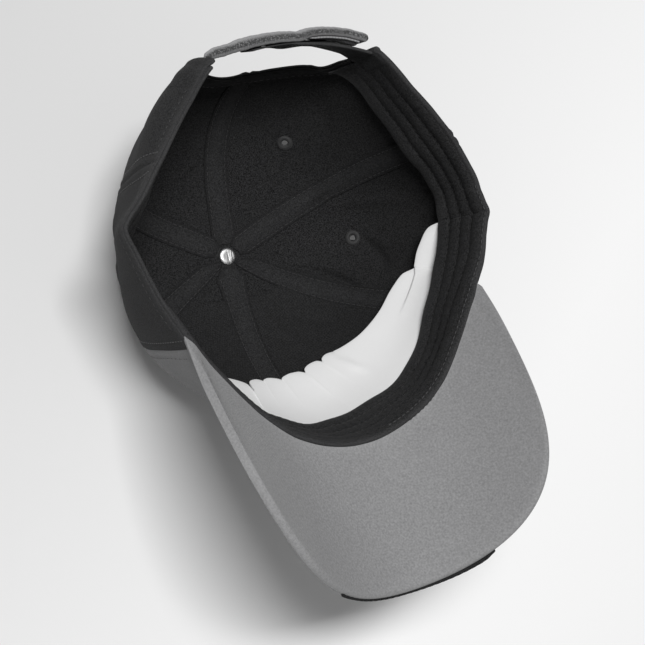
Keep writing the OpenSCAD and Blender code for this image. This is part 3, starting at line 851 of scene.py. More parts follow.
# Shares of the lean and of the ribs that are left where the band's ends are sewn down
END_LEAN, END_RIBS = 0.1, 0.12
ROOT_T = 1.5
BAND_OFF = BEND_GAP + max(TAPE_T, BUCKRAM_T, ROOT_T) + LAYER_GAP
FOLD_START, FOLD_IN, FOLD_TOP, FOLD_RISE, FOLD_OUT_OVER, FOLD_TOP_OVER = 0.4, 0.15, 1.3, 2.4, 0.5, 0.8
# Stations where the fold covers the visor's root and where the band gets slim, each with its soft step
OVER_VISOR, OVER_STEP, SLIM_FROM, SLIM_STEP = FRONT_SIDE + 0.08, 0.25, 2.1, 0.3
# Turn of the fold over the rim in degrees, and the points along the band, round its fold and on a rib
FOLD_TURN = (-10, 180)
BAND_COLS, FOLD_N, RIB_N = 420, 12, 14
band_end = STRAP_END - ROOT_T / station_mm(STRAP_END, 0)


def ripples(x, waves):
    """Sum of sines of x, each with a height, a speed and a start."""
    return sum(mm * np.sin(x * speed + start) for mm, speed, start in waves)


def band_profile(u):
    """Depth, distance from the panels, height of the rib and share of the width, along the profile. A half
    turn goes over the rim, higher and wider where it also covers the visor's root; then the ribs follow."""
    turn = np.radians(even(*FOLD_TURN, FOLD_N))[None, :]
    over = smooth((OVER_VISOR - np.abs(u)) / OVER_STEP)
    half = (1 - np.cos(turn)) / 2
    inner = FOLD_IN - BAND_OFF + BAND_SLIM * smooth((np.abs(u) - SLIM_FROM) / SLIM_STEP)
    start_depth, start_d = FOLD_START - FOLD_RISE * over, -FOLD_IN + FOLD_OUT_OVER * over
    fold_depth = start_depth + (FOLD_START - start_depth) * half
    fold_depth = fold_depth - (FOLD_TOP + FOLD_TOP_OVER * over) * np.sin(turn)
    fold_d = start_d + (inner - start_d) * half
    share = even(0, 1, RIBS * RIB_N + 1)[None, 1:]
    depth = FOLD_START + (BAND_W - FOLD_START) * share + 0 * u
    free = smooth((band_end - np.abs(u)) / BAND_FADE)
    lean = BAND_LEAN - BAND_PRESSED * bell(u - PRESSED_AT, PRESSED_REACH)
    d = inner - lean * share * (END_LEAN + (1 - END_LEAN) * free)
    share = np.concatenate([np.zeros(FOLD_N), share[0]])
    rib = RIB_H * np.abs(np.sin(np.pi * RIBS * share)) ** RIB_ROUND * (END_RIBS + (1 - END_RIBS) * free)
    return np.concatenate([fold_depth, depth], 1), np.concatenate([fold_d, d], 1), rib, share


print("profile points:", FOLD_N, "on the fold,", RIBS * RIB_N, "on the ribs")

# %% Sweatband
# How far the ends go past the arch, right and left, and the depth at which that stops, with its soft step
BAND_PAST_RIGHT, BAND_PAST_LEFT, BAND_PAST_DEPTH, BAND_PAST_OVER = 0.08, 0.02, 20, 12
# Slow wavers of the free edge, each a height, a speed and a start; then the pull of the quilting
WAVERS = ((0.5, 5.1, 0), (0.35, 11.3, 1))
QUILT_H, QUILT_SPEED = 0.12, 75


def sweatband():
    """Ribbed strip on the profile, with a slow waver where it has gone soft; its ends follow the arch. It
    gives back its face, the way that looks and the share of the width."""
    u = even(-band_end, band_end, BAND_COLS)[:, None]
    depth, d, rib, share = band_profile(u)
    past = arch_station(np.clip(depth, 0, BAND_W)) - STRAP_END
    more = np.where(u > 0, BAND_PAST_RIGHT, BAND_PAST_LEFT)
    past = past + more * smooth((BAND_PAST_DEPTH - depth) / BAND_PAST_OVER)
    u = u + np.sign(u) * past * smooth((np.abs(u) - band_end + BAND_FADE) / BAND_FADE)
    waver = ripples(u, WAVERS) * share
    quilt = QUILT_H * np.sin(u * QUILT_SPEED) * np.abs(np.sin(np.pi * RIBS * share))
    mid = layer(u, lat_at(depth), d - waver)
    inward = unit(np.cross(np.gradient(mid, axis=0), np.gradient(mid, axis=1)))
    top = mid + inward * (BAND_T / 2 + rib + quilt)[..., None]
    sheet("sweatband", top, mid - inward * BAND_T / 2, [band_cloth], "lining_black")
    return top, inward, share


band_face, band_inward, band_share = sweatband()
print("sweatband length:", round(float(np.ptp(along(band_face[:, :1], 0)))), "mm")

# %% [markdown]
# ## Binding of the back opening
# A narrow tape is sewn inside the edge of the arch, so that the cut cloth does not show. It could be cut
# out of the panels, but its two edges are simply two arches of the same kind, one of them grown by the
# tape's width, so the grid between them is the tape.

# %% Binding
STRAP_TOP, STRAP_H = 1, 20
BINDING_GRID, BINDING_SINK = (110, 9), 0.4


def opening_binding():
    """Tape between the arch's edge and a wider arch of the same kind, over the strap."""
    rows, cols = BINDING_GRID
    start = np.arcsin(((STRAP_TOP + STRAP_H + LAYER_GAP) / ARCH_H) ** (ARCH_POWER / 2))
    turn = even(start, np.pi - start, rows)[:, None]
    u, depth = arch_ring(turn, even(0, 1, cols)[None, :] * BINDING_W + LAYER_GAP)
    lat = lat_at(depth)
    return sheet("opening_binding", layer(u, lat, -BEND_GAP - TAPE_T), layer(u, lat, BINDING_SINK - BEND_GAP),
                 [seam_cloth], "cloth_dark")


opening_binding()
print("binding:", BINDING_W, "mm wide")

# %% [markdown]
# ## Visor
# The visor is a curved board between two cloth covers. A bent plane would not meet the rim, so the visor is
# ruled: straight lines run from the rim to an outline that rises to its corners. The under cover is what
# the photograph shows: it starts under the sweatband's fold, runs out over the board and rolls round its
# edge. The upper cover closes it from above, and a dark edging follows the middle of the front edge.

# %% Visor surface
VISOR_L, VISOR_W, VISOR_RISE, VISOR_ARCH, VISOR_POWER = 69, 155, 15, 72, 0.61
VISOR_END, VISOR_SEAT = 0.9994, -0.4
VISOR_REACH = VISOR_L + OPENING_L / 2 - VISOR_END_Y
# How far the worn front edge is pressed in, where that is deepest, and how far along it that reaches
PRESS, PRESS_AT, PRESS_REACH = 1.2, 0.1, 0.28
# Share of the thickness that the pointed ends have, and the length from which the visor is full
THIN_END, FULL_FROM = 0.16, 30


def visor_edge(w):
    """Outline: a sine across, a cosine to a power forward, and a height that rises to the corners."""
    turn = np.pi / 2 * np.clip(w, -1, 1)
    s, c = np.sin(turn), np.cos(turn) ** VISOR_POWER
    forward = VISOR_REACH * c - PRESS * bell(w - PRESS_AT, PRESS_REACH)
    return np.stack([VISOR_W / 2 * s, -VISOR_END_Y - forward, c * (VISOR_RISE + VISOR_ARCH * s * s)], -1)


def visor_root(w):
    """Where the visor meets the panels at the rim."""
    return layer(FRONT_SIDE * w, 0, VISOR_SEAT)


def visor_length(w):
    """Distance from the root to the edge."""
    return np.linalg.norm(visor_edge(w) - visor_root(w), axis=-1)


def visor_point(w, r):
    """Straight line from the root to the edge, at a share r."""
    root = visor_root(w)
    return root + (visor_edge(w) - root) * r[..., None]


def visor_normal(w, r):
    """Unit vector out of the under side."""
    along_w = visor_point(w + STATION_STEP, r) - visor_point(w - STATION_STEP, r)
    return unit(np.cross(along_w, visor_root(w) - visor_edge(w)))


def visor_at(w, inset, r, d):
    """Point at a share r of the way to a line inset from the edge, d over the board's middle."""
    w, inset, r, d = arrays(w, inset, r, d)
    r = (1 - inset / visor_length(w)) * r
    return visor_point(w, r) + d[..., None] * visor_normal(w, r)


def visor_stations(n):
    """Stations from end to end, crowded to the pointed ends, and how much of the full thickness they have."""
    w = VISOR_END * np.sin(np.pi / 2 * even(-1, 1, n))[:, None]
    length = visor_length(w)
    return w, length, THIN_END + (1 - THIN_END) * smooth(length / FULL_FROM)


print("visor in the middle:", round(float(visor_length(0)), 1), "mm long")

# %% Covers
BOARD_T, COVER_T, COVER_INSET = 2, 0.8, 0.6
COVER_MID = BOARD_T / 2 + LAYER_GAP
COVER_TOP = COVER_MID + COVER_T
# Where the sheets inside the roll start: distance from the panels, and the most of the length that may take
TOP_SEAT, SEAT_MOST = 1.9, 0.5
# Dip of the under cover along its root, and how far that reaches
SINK, SINK_REACH = 0.25, 3.0
UNDER_GRID, TOP_GRID = (190, 46), (170, 40)
# Points round the under cover's roll, and its turn in degrees
ROLL_POINTS, ROLL_TURN = 13, 170


def under_cover():
    """Cover from the rim's fold, over the board, round a half turn at the edge and back on the other side."""
    cols, rows = UNDER_GRID
    w, length, full = visor_stations(cols)
    out = even(0, 1, rows)[None, :]
    turn = np.radians(even(0, ROLL_TURN, ROLL_POINTS)[1:])[None, :]
    sink = SINK * bell(out * length, SINK_REACH)
    faces = []
    for high in (COVER_TOP * full, COVER_MID * full):
        flat = visor_at(w, COVER_TOP * full, out, high - sink * full)
        roll = visor_at(w, COVER_TOP * full - high * np.sin(turn), 1, high * np.cos(turn))
        faces.append(np.concatenate([flat, roll], axis=1))
    return sheet("visor_under_cover", *faces, [gray_twill], "cloth_gray")


def inside_roll(name, grid, margin, heights, look, slot):
    """Sheet from just outside the panels to a margin inside the roll of the under cover, between two heights
    over the board's middle."""
    cols, rows = grid
    w, length, full = visor_stations(cols)
    start = np.minimum(TOP_SEAT / length, SEAT_MOST)
    out = start + (1 - start) * even(0, 1, rows)[None, :]
    faces = (visor_at(w, (COVER_TOP + margin) * full, out, high * full) for high in heights)
    return sheet(name, *faces, [look], slot)


under_cover()
inside_roll("visor_top_cover", TOP_GRID, COVER_INSET, (-COVER_TOP, -COVER_MID), gray_twill, "cloth_gray")
print("covers:", round(2 * COVER_TOP, 1), "mm thick with the board")

# %% Edging
# The edging: width, length, depth, distance from the cover, and its right end as a share of half the length
TRIM_W, TRIM_L, TRIM_DEPTH, TRIM_OFF, TRIM_RIGHT = 1.5, 74, 0.9, 0.1, 1.1
# Shares of that width: everywhere, more towards the right, and more at the left tip, which starts at a share
TRIM_LEAST, TRIM_MORE, TRIM_TIP, TIP_FROM = 0.22, 0.6, 0.25, 0.75
# The right end's taper as shares, and the twist of the edging: height and speed
TAPER_PAST, TAPER, TWIST_H, TWIST = 0.06, 0.2, 0.12, 240
TRIM_GRID = (90, 6)


def visor_trim():
    """Edging outside the front edge: a flat bead that is thickest at its right end."""
    rows, cols = TRIM_GRID
    half = np.degrees(np.arcsin(TRIM_L / VISOR_W)) / 90
    w = even(-half, half * TRIM_RIGHT, rows)[:, None]
    share = w / half
    wide = TRIM_LEAST + TRIM_MORE * smooth(share) + TRIM_TIP * smooth((-share - TIP_FROM) / (1 - TIP_FROM))
    wide = TRIM_W * wide * smooth((TRIM_RIGHT + TAPER_PAST - share) / TAPER)
    inset = -TRIM_OFF - wide * even(0, 1, cols)[None, :]
    top = visor_at(w, inset, 1, TRIM_OFF + TWIST_H * np.sin(w * TWIST))
    return sheet("visor_trim", top, visor_at(w, inset, 1, -TRIM_DEPTH), [seam_cloth], "cloth_dark")


visor_trim()
print("edging:", TRIM_L, "mm long")

# %% Board
BOARD_INSET, BOARD_GRID = 1.4, (120, 30)


def board_plastic():
    """Gray plastic with a fine grain; the board between the covers does not show."""
    f = Finish("visor_board_plastic")
    grain = f.noise(900, 3)
    return f.done(Base_Color=f.mix(grain, 0.16, 0.22), Roughness=grain.between(0.4, 0.6),
                  Normal=f.bump(grain, 0.05))


board_half = BOARD_T / 2
inside_roll("visor_board", BOARD_GRID, BOARD_INSET, (board_half, -board_half), board_plastic(), "visor_board")
print("board:", BOARD_T, "mm thick")

# %% [markdown]
# ## Button, rivet and eyelets
# These are round, so each is a profile carried round an axis. The Spin tool or a Screw modifier could do
# the same, but here the radius can also change on the way round: the button's cloth is gathered, and the
# eyelets are sewn, not metal, so their ring swells once for each turn of thread.

# %% Turned pieces
# Radius at which a profile closes on its axis
AXIS_R = 0.01
# Any direction that is not along one of the axes, to start the turn from
ASKEW = (0.3, 1, 0.2)
UP = (0, 0, 1)


def turned_piece(name, profile, centre, axis, look, slot, turns, ripple=None):
    """Profile of radius and height carried round an axis. One that ends where it starts makes a ring; any
    other starts and ends on the axis and is filled there. A ripple multiplies the radius."""
    side = unit(np.cross(axis, ASKEW))
    other = np.cross(axis, side)
    run = np.insert(np.cumsum(np.hypot(*np.diff(profile, axis=0).T)), 0, 0)
    columns = np.arange(len(profile))
    ring_shaped = np.allclose(profile[0], profile[-1])
    if ring_shaped:
        profile, run, columns[-1] = profile[:-1], run[:-1], 0
    a = even(0, TAU, turns + 1)[:-1, None]
    r, h = profile[None].transpose(2, 0, 1)
    wide = r * (ripple(a, r) if ripple else 1)
    flat = (wide * np.cos(a))[..., None] * side + (wide * np.sin(a))[..., None] * other
    points = (flat + h[..., None] * axis + centre).reshape(-1, 3)
    index = np.arange(len(points)).reshape(turns, -1)[:, columns]
    follow = np.roll(index, -1, axis=0)
    faces = np.stack([index[:, :-1], follow[:, :-1], follow[:, 1:], index[:, 1:]], -1).reshape(-1, 4).tolist()
    if not ring_shaped:
        faces += [index[::-1, 0].tolist(), index[:, -1].tolist()]
    uv = np.stack(np.broadcast_arrays(a * r.max(), run[None]), -1).reshape(-1, 2)
    return add_piece(name, points, faces, [look], "crown", (name,), slot, uv, edge=np.zeros(len(points)),
                     shade=np.full(len(points), 0.5))


def curve_through(points, n):
    """Smooth profile through a few points, by cubic steps between them."""
    p = np.asarray(points, float)
    q = np.concatenate([2 * p[:1] - p[1:2], p, 2 * p[-1:] - p[-2:-1]])
    t = even(0, len(p) - 1 - 1e-6, n)
    i = t.astype(int)
    return cubic(*(q[i + k] for k in range(4)), (t - i)[:, None])


print("a curve of 5 points:", curve_through([(0, 0), (1, 1), (2, 0)], 5)[:, 1].round(2))

# %% Button and rivet
BUTTON_R, BUTTON_H = 8, 6
# Flat underside of the button, radius and height; then its dome's start and the powers that make it full
BUTTON_BASE = ((AXIS_R, 0.25), (5, 0.25), (BUTTON_R - 0.7, 0.1))
DOME_START, DOME_WIDE, DOME_HIGH = 0.2, 0.75, 0.85
# Gathers of the button's cloth: how many, how high, and the radii between which they grow
GATHERS, GATHER_H, GATHER_FROM, GATHER_OVER = 10, 0.012, 3, 5
# Rivet from the middle of its head to the end of its stem: radius and height
RIVET = ((AXIS_R, 1.15), (1.4, 1.16), (2.6, 1.2), (3.5, 1.08), (4.15, 0.65), (4.3, 0.2), (4.0, 0.0),
         (2.4, 0.0), (1.8, -0.3), (1.8, -3.4), (AXIS_R, -3.45))
DOME_POINTS, RIVET_POINTS, BUTTON_TURNS, RIVET_TURNS = 26, 60, 120, 72


def scratched_metal(name):
    """Bright metal with a few dark scores one way and fine scratches across them."""
    f = Finish(name)
    lines = f.noise(520, 2, f.place((1, 0.12, 1), (0, 0, 0.12)))
    crossed = f.noise(500, 3, f.place((12, 1, 1), (0, 0, 0.2)))
    scored = (lines * 7 - 2.2).clamped()
    return f.done(Base_Color=f.mix(scored, 0.3, 0.93), Metallic=1.0, Roughness=crossed.between(0.26, 0.56),
                  Normal=f.bump(scored + crossed * 0.3, 0.08))


def gathered(a, r):
    """Soft waves of the cloth round the button, which grow towards its edge."""
    return 1 + GATHER_H * np.sin(GATHERS * a) * smooth((r - GATHER_FROM) / GATHER_OVER)


swell = np.radians(even(0, 90, DOME_POINTS))[:-1]
dome_h = -DOME_START - (BUTTON_H - DOME_START) * np.sin(swell) ** DOME_HIGH
dome = np.stack([BUTTON_R * np.cos(swell) ** DOME_WIDE, dome_h], -1)
button_profile = np.concatenate([BUTTON_BASE, dome, [(AXIS_R, -BUTTON_H)]])
top_out = -CROWN_H - PANEL_T - LAYER_GAP
turned_piece("top_button", button_profile[::-1], (0, TOP_Y, top_out), UP, gray_twill, "cloth_gray",
             BUTTON_TURNS, gathered)
turned_piece("button_rivet", curve_through(RIVET, RIVET_POINTS)[::-1], (0, TOP_Y, -CROWN_H + LAYER_GAP), UP,
             scratched_metal("rivet_metal"), "rivet_metal", RIVET_TURNS)
print("button and rivet:", 2 * BUTTON_R, "mm and", 2 * max(r for r, h in RIVET), "mm across")

# %% Eyelets
EYELET_RIM, EYELET_PROUD, OVAL_WIDE, OVAL_HIGH = 2.4, 0.9, 0.8, 0.7
# Turns of thread round an eyelet, the points to each, and how much they swell
THREADS, THREAD_POINTS, THREAD_SWELL = 26, 6, 0.05
OVAL_POINTS = 25
ring_r = EYELET_D / 2 + EYELET_RIM / 2


def sewn_over(a, r):
    """One swelling for each turn of thread: outwards on the ring's outer half, inwards on its inner half."""
    return 1 + THREAD_SWELL * np.abs(np.sin(a * THREADS / 2)) * np.sign(r - ring_r)


oval = even(0, TAU, OVAL_POINTS)
ring_profile = np.stack([ring_r + EYELET_RIM / 2 * signed_power(np.cos(oval), OVAL_WIDE),
                         (PANEL_T / 2 + EYELET_PROUD) * signed_power(np.sin(oval), OVAL_HIGH)], -1)
ring_profile[-1] = ring_profile[0]
for part, station in EYELETS.items():
    for side, sign in (("right", 1), ("left", -1)):
        turned_piece(f"{part}_{side}_eyelet", ring_profile[::-1], *eyelet_frame(sign * station),
                     lining_thread, "thread_dark", THREADS * THREAD_POINTS, sewn_over)
print("eyelets:", 2 * len(EYELETS), "of", THREADS, "turns of thread")

# %% [markdown]
# ## Strap
# Two tabs close the back: the outer one, gray, is sewn at the wearer's left, and the inner one, dark, at
# the right. Hook tape on the one holds loop tape on the other. A box could be bent round the back, but the
# gray tab is rolled up thick along the rim, so both of its faces are read from a table of that roll. Each
# tab is sewn to the crown by an end that does not move.

# %% Strap line
STRAP_T, PATCH_T, OUTER_REACH, INNER_REACH = 1.5, 1, 37, 21
strap_r = (STRAP_HALF ** 2 + STRAP_SAG ** 2) / (2 * STRAP_SAG)
STRAP_MID = strap_r + PANEL_T / 2
HOOK_IN, OUTER_IN = MOVE_GAP / 2, MOVE_GAP / 2 + PATCH_T + LAYER_GAP / 2
ROOT_END = arch_station(STRAP_TOP + STRAP_H)
TAB_START = float(rim(ROOT_END)[0]) - MOVE_GAP
# How far the strap's lower edge leans out: distance from the middle back, and millimetres
LEAN = np.array([(-41.5, 0.6), (-36, 1.0), (-28, 2.6), (-18, 3.6), (-6, 3.0), (2, 2.6), (7, 3.0), (13, 4.0),
                 (20, 4.2), (27, 3.5), (35, 3.0), (41.5, 1.2)])


def on_strap(x, off, z):
    """Point of the strap's arc: x from the middle back, off out from its middle line, at a height z."""
    x, off, z = arrays(x, off, z)
    off = off + np.interp(x, *LEAN.T) * (-z - STRAP_TOP) / STRAP_H
    a = np.arcsin(np.clip(x / STRAP_MID, -1, 1))
    r = STRAP_MID + off
    return np.stack([r * np.sin(a), OPENING_L / 2 - strap_r + r * np.cos(a), z], -1)


print("strap closes at a radius of", round(STRAP_MID, 1), "mm")

# %% Outer tab
# Rolled edge of the outer tab at the rim: distance from the middle back, inner and outer face
ROLLED = np.array([(-41.5, 1.3, 5.2), (-37, 0.9, 5.9), (-34, 0.1, 5.2), (-30, 0.0, 4.8), (-25, -0.6, 5.1),
                   (-16, -0.7, 4.7), (-8, -0.8, 4.5), (0, -1.0, 4.1), (3.2, -1.1, 3.6), (6, -0.9, 4.5),
                   (8.5, 0.0, 5.0), (10.5, 0.9, 5.4), (14, 1.5, 5.8), (19.5, 2.1, 6.3), (28.5, 2.7, 6.8),
                   (40, 2.4, 6.4)])
# Height at which the tab starts to roll, how soon it is rolled, and how far its edge is below the rim
ROLL_Z, ROLL_STEP, TAB_EDGE = -7.5, 4.2, 1.4
# How far below the roll the rows of the flat cloth stop
FLAT_STOP = 0.5
# Where the outer tab steps out over the end of the inner one, and its small waves: height, speed, start
STEP_OUT, STEP_FROM, STEP_OVER = 0.7, 8, 8
CRUMPLE = ((0.06, 0.9, 0), (0.04, 2.3, 1))
OUTER_COLS, FLAT_ROWS, ROLL_ROWS = 170, 16, 18


def rolled(z):
    """Soft step from 0 on the flat cloth to 1 in the rolled edge."""
    return smooth((z - ROLL_Z) / ROLL_STEP)


def rolled_cloth():
    """The gray twill, painted paler than on the visor as light on the roll, with a rough, mottled core where
    the rolled edge shows its cut layers.
    """
    f = Finish("gray_twill_rolled")
    u, v = f.cloth_axes()
    rib = (u + v).wave(0.9)
    fuzz = f.noise(2200, 3)
    dots = f.noise(1400, 3)
    core = f.attribute("core")
    # Painted light: the roll's cloth is a paler copy of the gray twill
    cloth = f.shades(rib * 0.4 + fuzz * 0.6, GRAY, 1.1, 1.6)
    fibres = f.shades((dots * 5 - 2.4).clamped(), GRAY, 0.2, 0.85)
    return f.done(Base_Color=f.mix(core, cloth, fibres), Roughness=fuzz.between(0.82, 0.94),
                  Normal=f.bump(rib * 0.3 + fuzz * 0.3 + dots * core, 0.25), Specular_IOR_Level=0.25)


def outer_tab():
    """Gray tab: flat cloth, rolled up thick along the rim; past the inner tab's end it steps out."""
    x = even(-TAB_START, OUTER_REACH, OUTER_COLS)[:, None]
    z = np.concatenate([even(-STRAP_TOP - STRAP_H, ROLL_Z - FLAT_STOP, FLAT_ROWS),
                        even(ROLL_Z, -STRAP_TOP - TAB_EDGE, ROLL_ROWS)])[None, :]
    roll = rolled(z)
    low, high = (np.interp(x, ROLLED[:, 0], ROLLED[:, k]) for k in (1, 2))
    flat = OUTER_IN + STEP_OUT * smooth((x - STEP_FROM) / STEP_OVER)
    near, far = flat + (low - flat) * roll, flat + STRAP_T + (high - flat - STRAP_T) * roll
    crumple = ripples(x, CRUMPLE)
    return sheet("strap_outer_tab", on_strap(x, far + crumple, z), on_strap(x, near + crumple * roll, z),
                 [rolled_cloth()], "cloth_gray", None)


outer = outer_tab()
print("outer tab:", round(TAB_START + OUTER_REACH), "mm long")

# %% Inner tab
# The inner tab: how much thinner its free end is, from where, over how far, and how round its corners are
TAB_THIN, THIN_FROM, THIN_OVER, TAB_ROUND = 0.85, 6, 8, 9
# The wave of its lower edge, and the depths between which it grows
SAG = ((0.25, 0.12, 1),)
SAG_FROM, SAG_OVER = 6, 14
INNER_GRID = (130, 24)


def inner_tab():
    """Dark tab inside the outer one, worn thin towards its rounded free end, with a soft wave along its lower
    edge."""
    cols, rows = INNER_GRID
    x = even(-INNER_REACH, TAB_START, cols)[:, None]
    height = STRAP_H - TAB_ROUND * smooth((TAB_ROUND - INNER_REACH - x) / TAB_ROUND) ** 2
    z = -STRAP_TOP - height * even(1, 0, rows)[None, :]
    thick = STRAP_T - TAB_THIN * smooth((THIN_FROM - x) / THIN_OVER)
    off = -OUTER_IN - ripples(x, SAG) * smooth((-z - SAG_FROM) / SAG_OVER)
    return sheet("strap_inner_tab", on_strap(x, off - thick, z), on_strap(x, off, z), [dark_twill],
                 "cloth_dark", None)


inner = inner_tab()
print("inner tab:", round(TAB_START + INNER_REACH), "mm long")

# %% Hook and loop tape
HOOK_L, LOOP_L, PATCH_MARGIN, PATCH_UNDER, PATCH_GRID = 47, 46, 2, 7, (60, 24)


def grip_finish(name, colour, pitch, relief, rough):
    """Hook or loop tape: rows of small dots on a ribbed ground."""
    f = Finish(name)
    u, v = f.cloth_axes()
    dots = u.sine(pitch) * v.sine(pitch) * 0.5 + 0.5
    fuzz = f.noise(2400, 4)
    return f.done(Base_Color=f.shades(dots * 0.5 + fuzz * 0.5, colour, 0.6, 1.4),
                  Roughness=fuzz.between(rough, rough + 0.2), Normal=f.bump(dots * 0.6 + fuzz * 0.6, relief))


def patch(name, low, high, top, near, far, look, slot, body):
    """Flat strip of hook or loop tape, set in from the strap's edges; on the outer tab it bends out beside
    the rolled edge."""
    cols, rows = PATCH_GRID
    x = even(low, high, cols)[:, None]
    z = even(PATCH_MARGIN - STRAP_TOP - STRAP_H, -STRAP_TOP - top, rows)[None, :]
    out = np.maximum(np.interp(x, *ROLLED[:, :2].T) - OUTER_IN, 0) * rolled(z) * (near > 0)
    return sheet(name, on_strap(x, far + out, z), on_strap(x, near + out, z), [look], slot, body)


hook_tape = grip_finish("hook_tape", (0.24, 0.24, 0.245), 1.6, 0.3, 0.5)
loop_tape = grip_finish("loop_tape", CHARCOAL, 2.1, 0.35, 0.8)
hook_end, loop_end = OUTER_REACH - PATCH_MARGIN, PATCH_MARGIN - INNER_REACH
patch("hook_patch", hook_end - HOOK_L, hook_end, PATCH_MARGIN, HOOK_IN + PATCH_T, HOOK_IN, hook_tape,
      "hook_tape", "outer_tab")
patch("loop_patch", loop_end, loop_end + LOOP_L, PATCH_UNDER, -HOOK_IN - PATCH_T, -HOOK_IN, loop_tape,
      "loop_tape", "inner_tab")
print("hook and loop tape:", HOOK_L, "and", LOOP_L, "mm long")

# %% Sewn ends
ROOT_L = 12
# The sewn ends: top, how far they stop short of the arch, and the cloth over and under the seam
ROOT_TOP, ROOT_SHORT, ROOT_OVER, ROOT_UNDER = -0.9, 0.015, 0.1, 0.3
# How fast they swell along and across, how much at the top edge, and where they wrap the layers below
SWELL_ALONG, SWELL_ACROSS, SWELL_TOP, WRAP_FROM, WRAP_OVER = 2, 5, 0.35, 0.72, 0.2
ROOT_GRID = (34, 26)


def strap_root(name, side, sign, base, cover, under):
    """Sewn end of a tab: a swelling of the back panel's cloth, from nothing up to the arch's edge, where it
    wraps the ends of the layers below it."""
    rows, cols = ROOT_GRID
    start = STRAP_END - ROOT_L / station_mm(STRAP_END, 0)
    a, b = even(0, 1, rows)[:, None], even(0, 1, cols)[None, :]
    u = side * (start + (ROOT_END - ROOT_SHORT - start) * a)
    lat = lat_at(ROOT_TOP + (STRAP_TOP + STRAP_H - ROOT_TOP) * b)
    swell = smooth(a * SWELL_ALONG) * smooth(SWELL_TOP + b * SWELL_ACROSS) * smooth((1 - b) * SWELL_ACROSS)
    wrap = smooth((a - WRAP_FROM) / WRAP_OVER)
    far = layer(u, lat, base + sign * (ROOT_T * swell + cover * wrap + ROOT_OVER))
    near = layer(u, lat, base - sign * (ROOT_UNDER + under * wrap))
    return sheet(name, far, near, [dark_twill], "cloth_dark")


strap_root("strap_outer_root", -1, 1, PANEL_T, cover=0.7, under=0.9)
strap_root("strap_inner_root", 1, -1, -BEND_GAP, cover=0.0, under=1.5)
print("sewn ends:", ROOT_L, "mm long")

# %% Baking the tabs
BEND_L = 13
hinge_z = -STRAP_TOP - STRAP_H / 2
tuple(on_strap(-TAB_START, OUTER_IN, hinge_z) * MM)
tuple(on_strap(BEND_L - TAB_START, OUTER_IN, hinge_z) * MM)
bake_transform(outer)
tuple(on_strap(TAB_START, -OUTER_IN, hinge_z) * MM)
tuple(on_strap(TAB_START - BEND_L, -OUTER_IN, hinge_z) * MM)
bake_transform(inner)
print("tabs bend within", BEND_L, "mm")

# %% [markdown]
# ## Shaper insert
# A thin white sheet that keeps the front in shape is tucked behind the sweatband and stands up inside it.
# Its top edge is cut in round petals, each lapping the next one, and at the right it is creased where a
# longer flap starts. A picture with a clear background could give that outline, but not its thickness or
# its laps, so straight lines run from the foot of the sheet up to an edge drawn through points.

# %% Edge of the insert
# Petals of the top edge, each a few points of station and depth; the last one is the plain edge with its flap
PETALS = (
    ((-2.72, 36), (-2.67, 40.5), (-2.5, 46.5), (-2.2, 54), (-1.9, 60), (-1.52, 64.2), (-1.14, 69.6),
     (-0.98, 71.6)),
    ((-0.97, 70.4), (-0.9, 71.4), (-0.8, 72.0), (-0.736, 72.1), (-0.649, 71.6), (-0.566, 69.6),
     (-0.545, 63.5)),
    ((-0.538, 63.5), (-0.528, 70.6), (-0.5, 72.8), (-0.464, 74.2), (-0.384, 75.6), (-0.32, 75.4),
     (-0.28, 74.6)),
    ((-0.275, 74.7), (-0.2, 76.3), (-0.123, 76.7), (-0.028, 75.9), (0.04, 74.5)),
    ((0.045, 74.5), (0.08, 75.4), (0.131, 76.1), (0.237, 76.6), (0.357, 75.4), (0.404, 73.7), (0.425, 72.4)),
    ((0.44, 73.4), (0.46, 74.4), (0.51, 75.4), (0.587, 75.8), (0.676, 75.0), (0.711, 73.3), (0.722, 72.4)),
    ((0.74, 73.0), (0.76, 73.8), (0.816, 74.6), (0.874, 74.5), (0.949, 73.0)),
    ((0.955, 72.7), (1.142, 70.1), (1.321, 67.1), (1.52, 64.2), (1.706, 61.8), (1.895, 60.3), (2.037, 58.1),
     (2.119, 56.1), (2.162, 54), (2.217, 48.6), (2.24, 48.4), (2.411, 48), (2.578, 44.5), (2.669, 40.4),
     (2.72, 34.5)))
PETAL_POINTS = 10


def insert_edge():
    """Stations, depths and place in the petal along the top edge, through each petal's points in turn."""
    lines = [curve_through(points, PETAL_POINTS * len(points)) for points in PETALS]
    lapped = [even(0, 1, len(line)) if 0 < k < len(PETALS) - 1 else np.full(len(line), 0.5)
              for k, line in enumerate(lines)]
    u, depth = np.concatenate(lines).T
    return u, depth, np.concatenate(lapped)


print("insert petals:", len(PETALS) - 2)

# %% Insert
INSERT_T, INSERT_TUCK, INSERT_STAND = 0.8, 6, 6.5
insert_low = BAND_W - INSERT_TUCK
INSERT_FOOT = LAYER_GAP + BUCKRAM_T + MOVE_GAP + INSERT_T
# Smooth line through the tips of the petals: station and depth
TIPS = ((-2.72, 36), (-2.5, 46.5), (-1.9, 60), (-1.14, 69.6), (-0.74, 72.6), (-0.38, 75.6), (-0.1, 76.8),
        (0.24, 76.6), (0.59, 75.8), (0.85, 74.4), (1.14, 70.4), (1.52, 64.4), (1.9, 59), (2.2, 53),
        (2.5, 46.5), (2.72, 36))
LAP, LAP_LENGTH = 0.6, 1.8
# The flap's crease: depth at its left end, how much that falls by the station, and where it starts and stops
CREASE_DEPTH, CREASE_FALL, CREASE_FROM, CREASE_TO = 51.8, 6.3, 1.62, 2.24
# Height and sharpness of its step, how far that reaches up and down, and how soon it comes and goes
CREASE_H, CREASE_SHARP, CREASE_REACH, CREASE_COME, CREASE_GO = 0.45, 0.3, 9, 0.4, 0.03
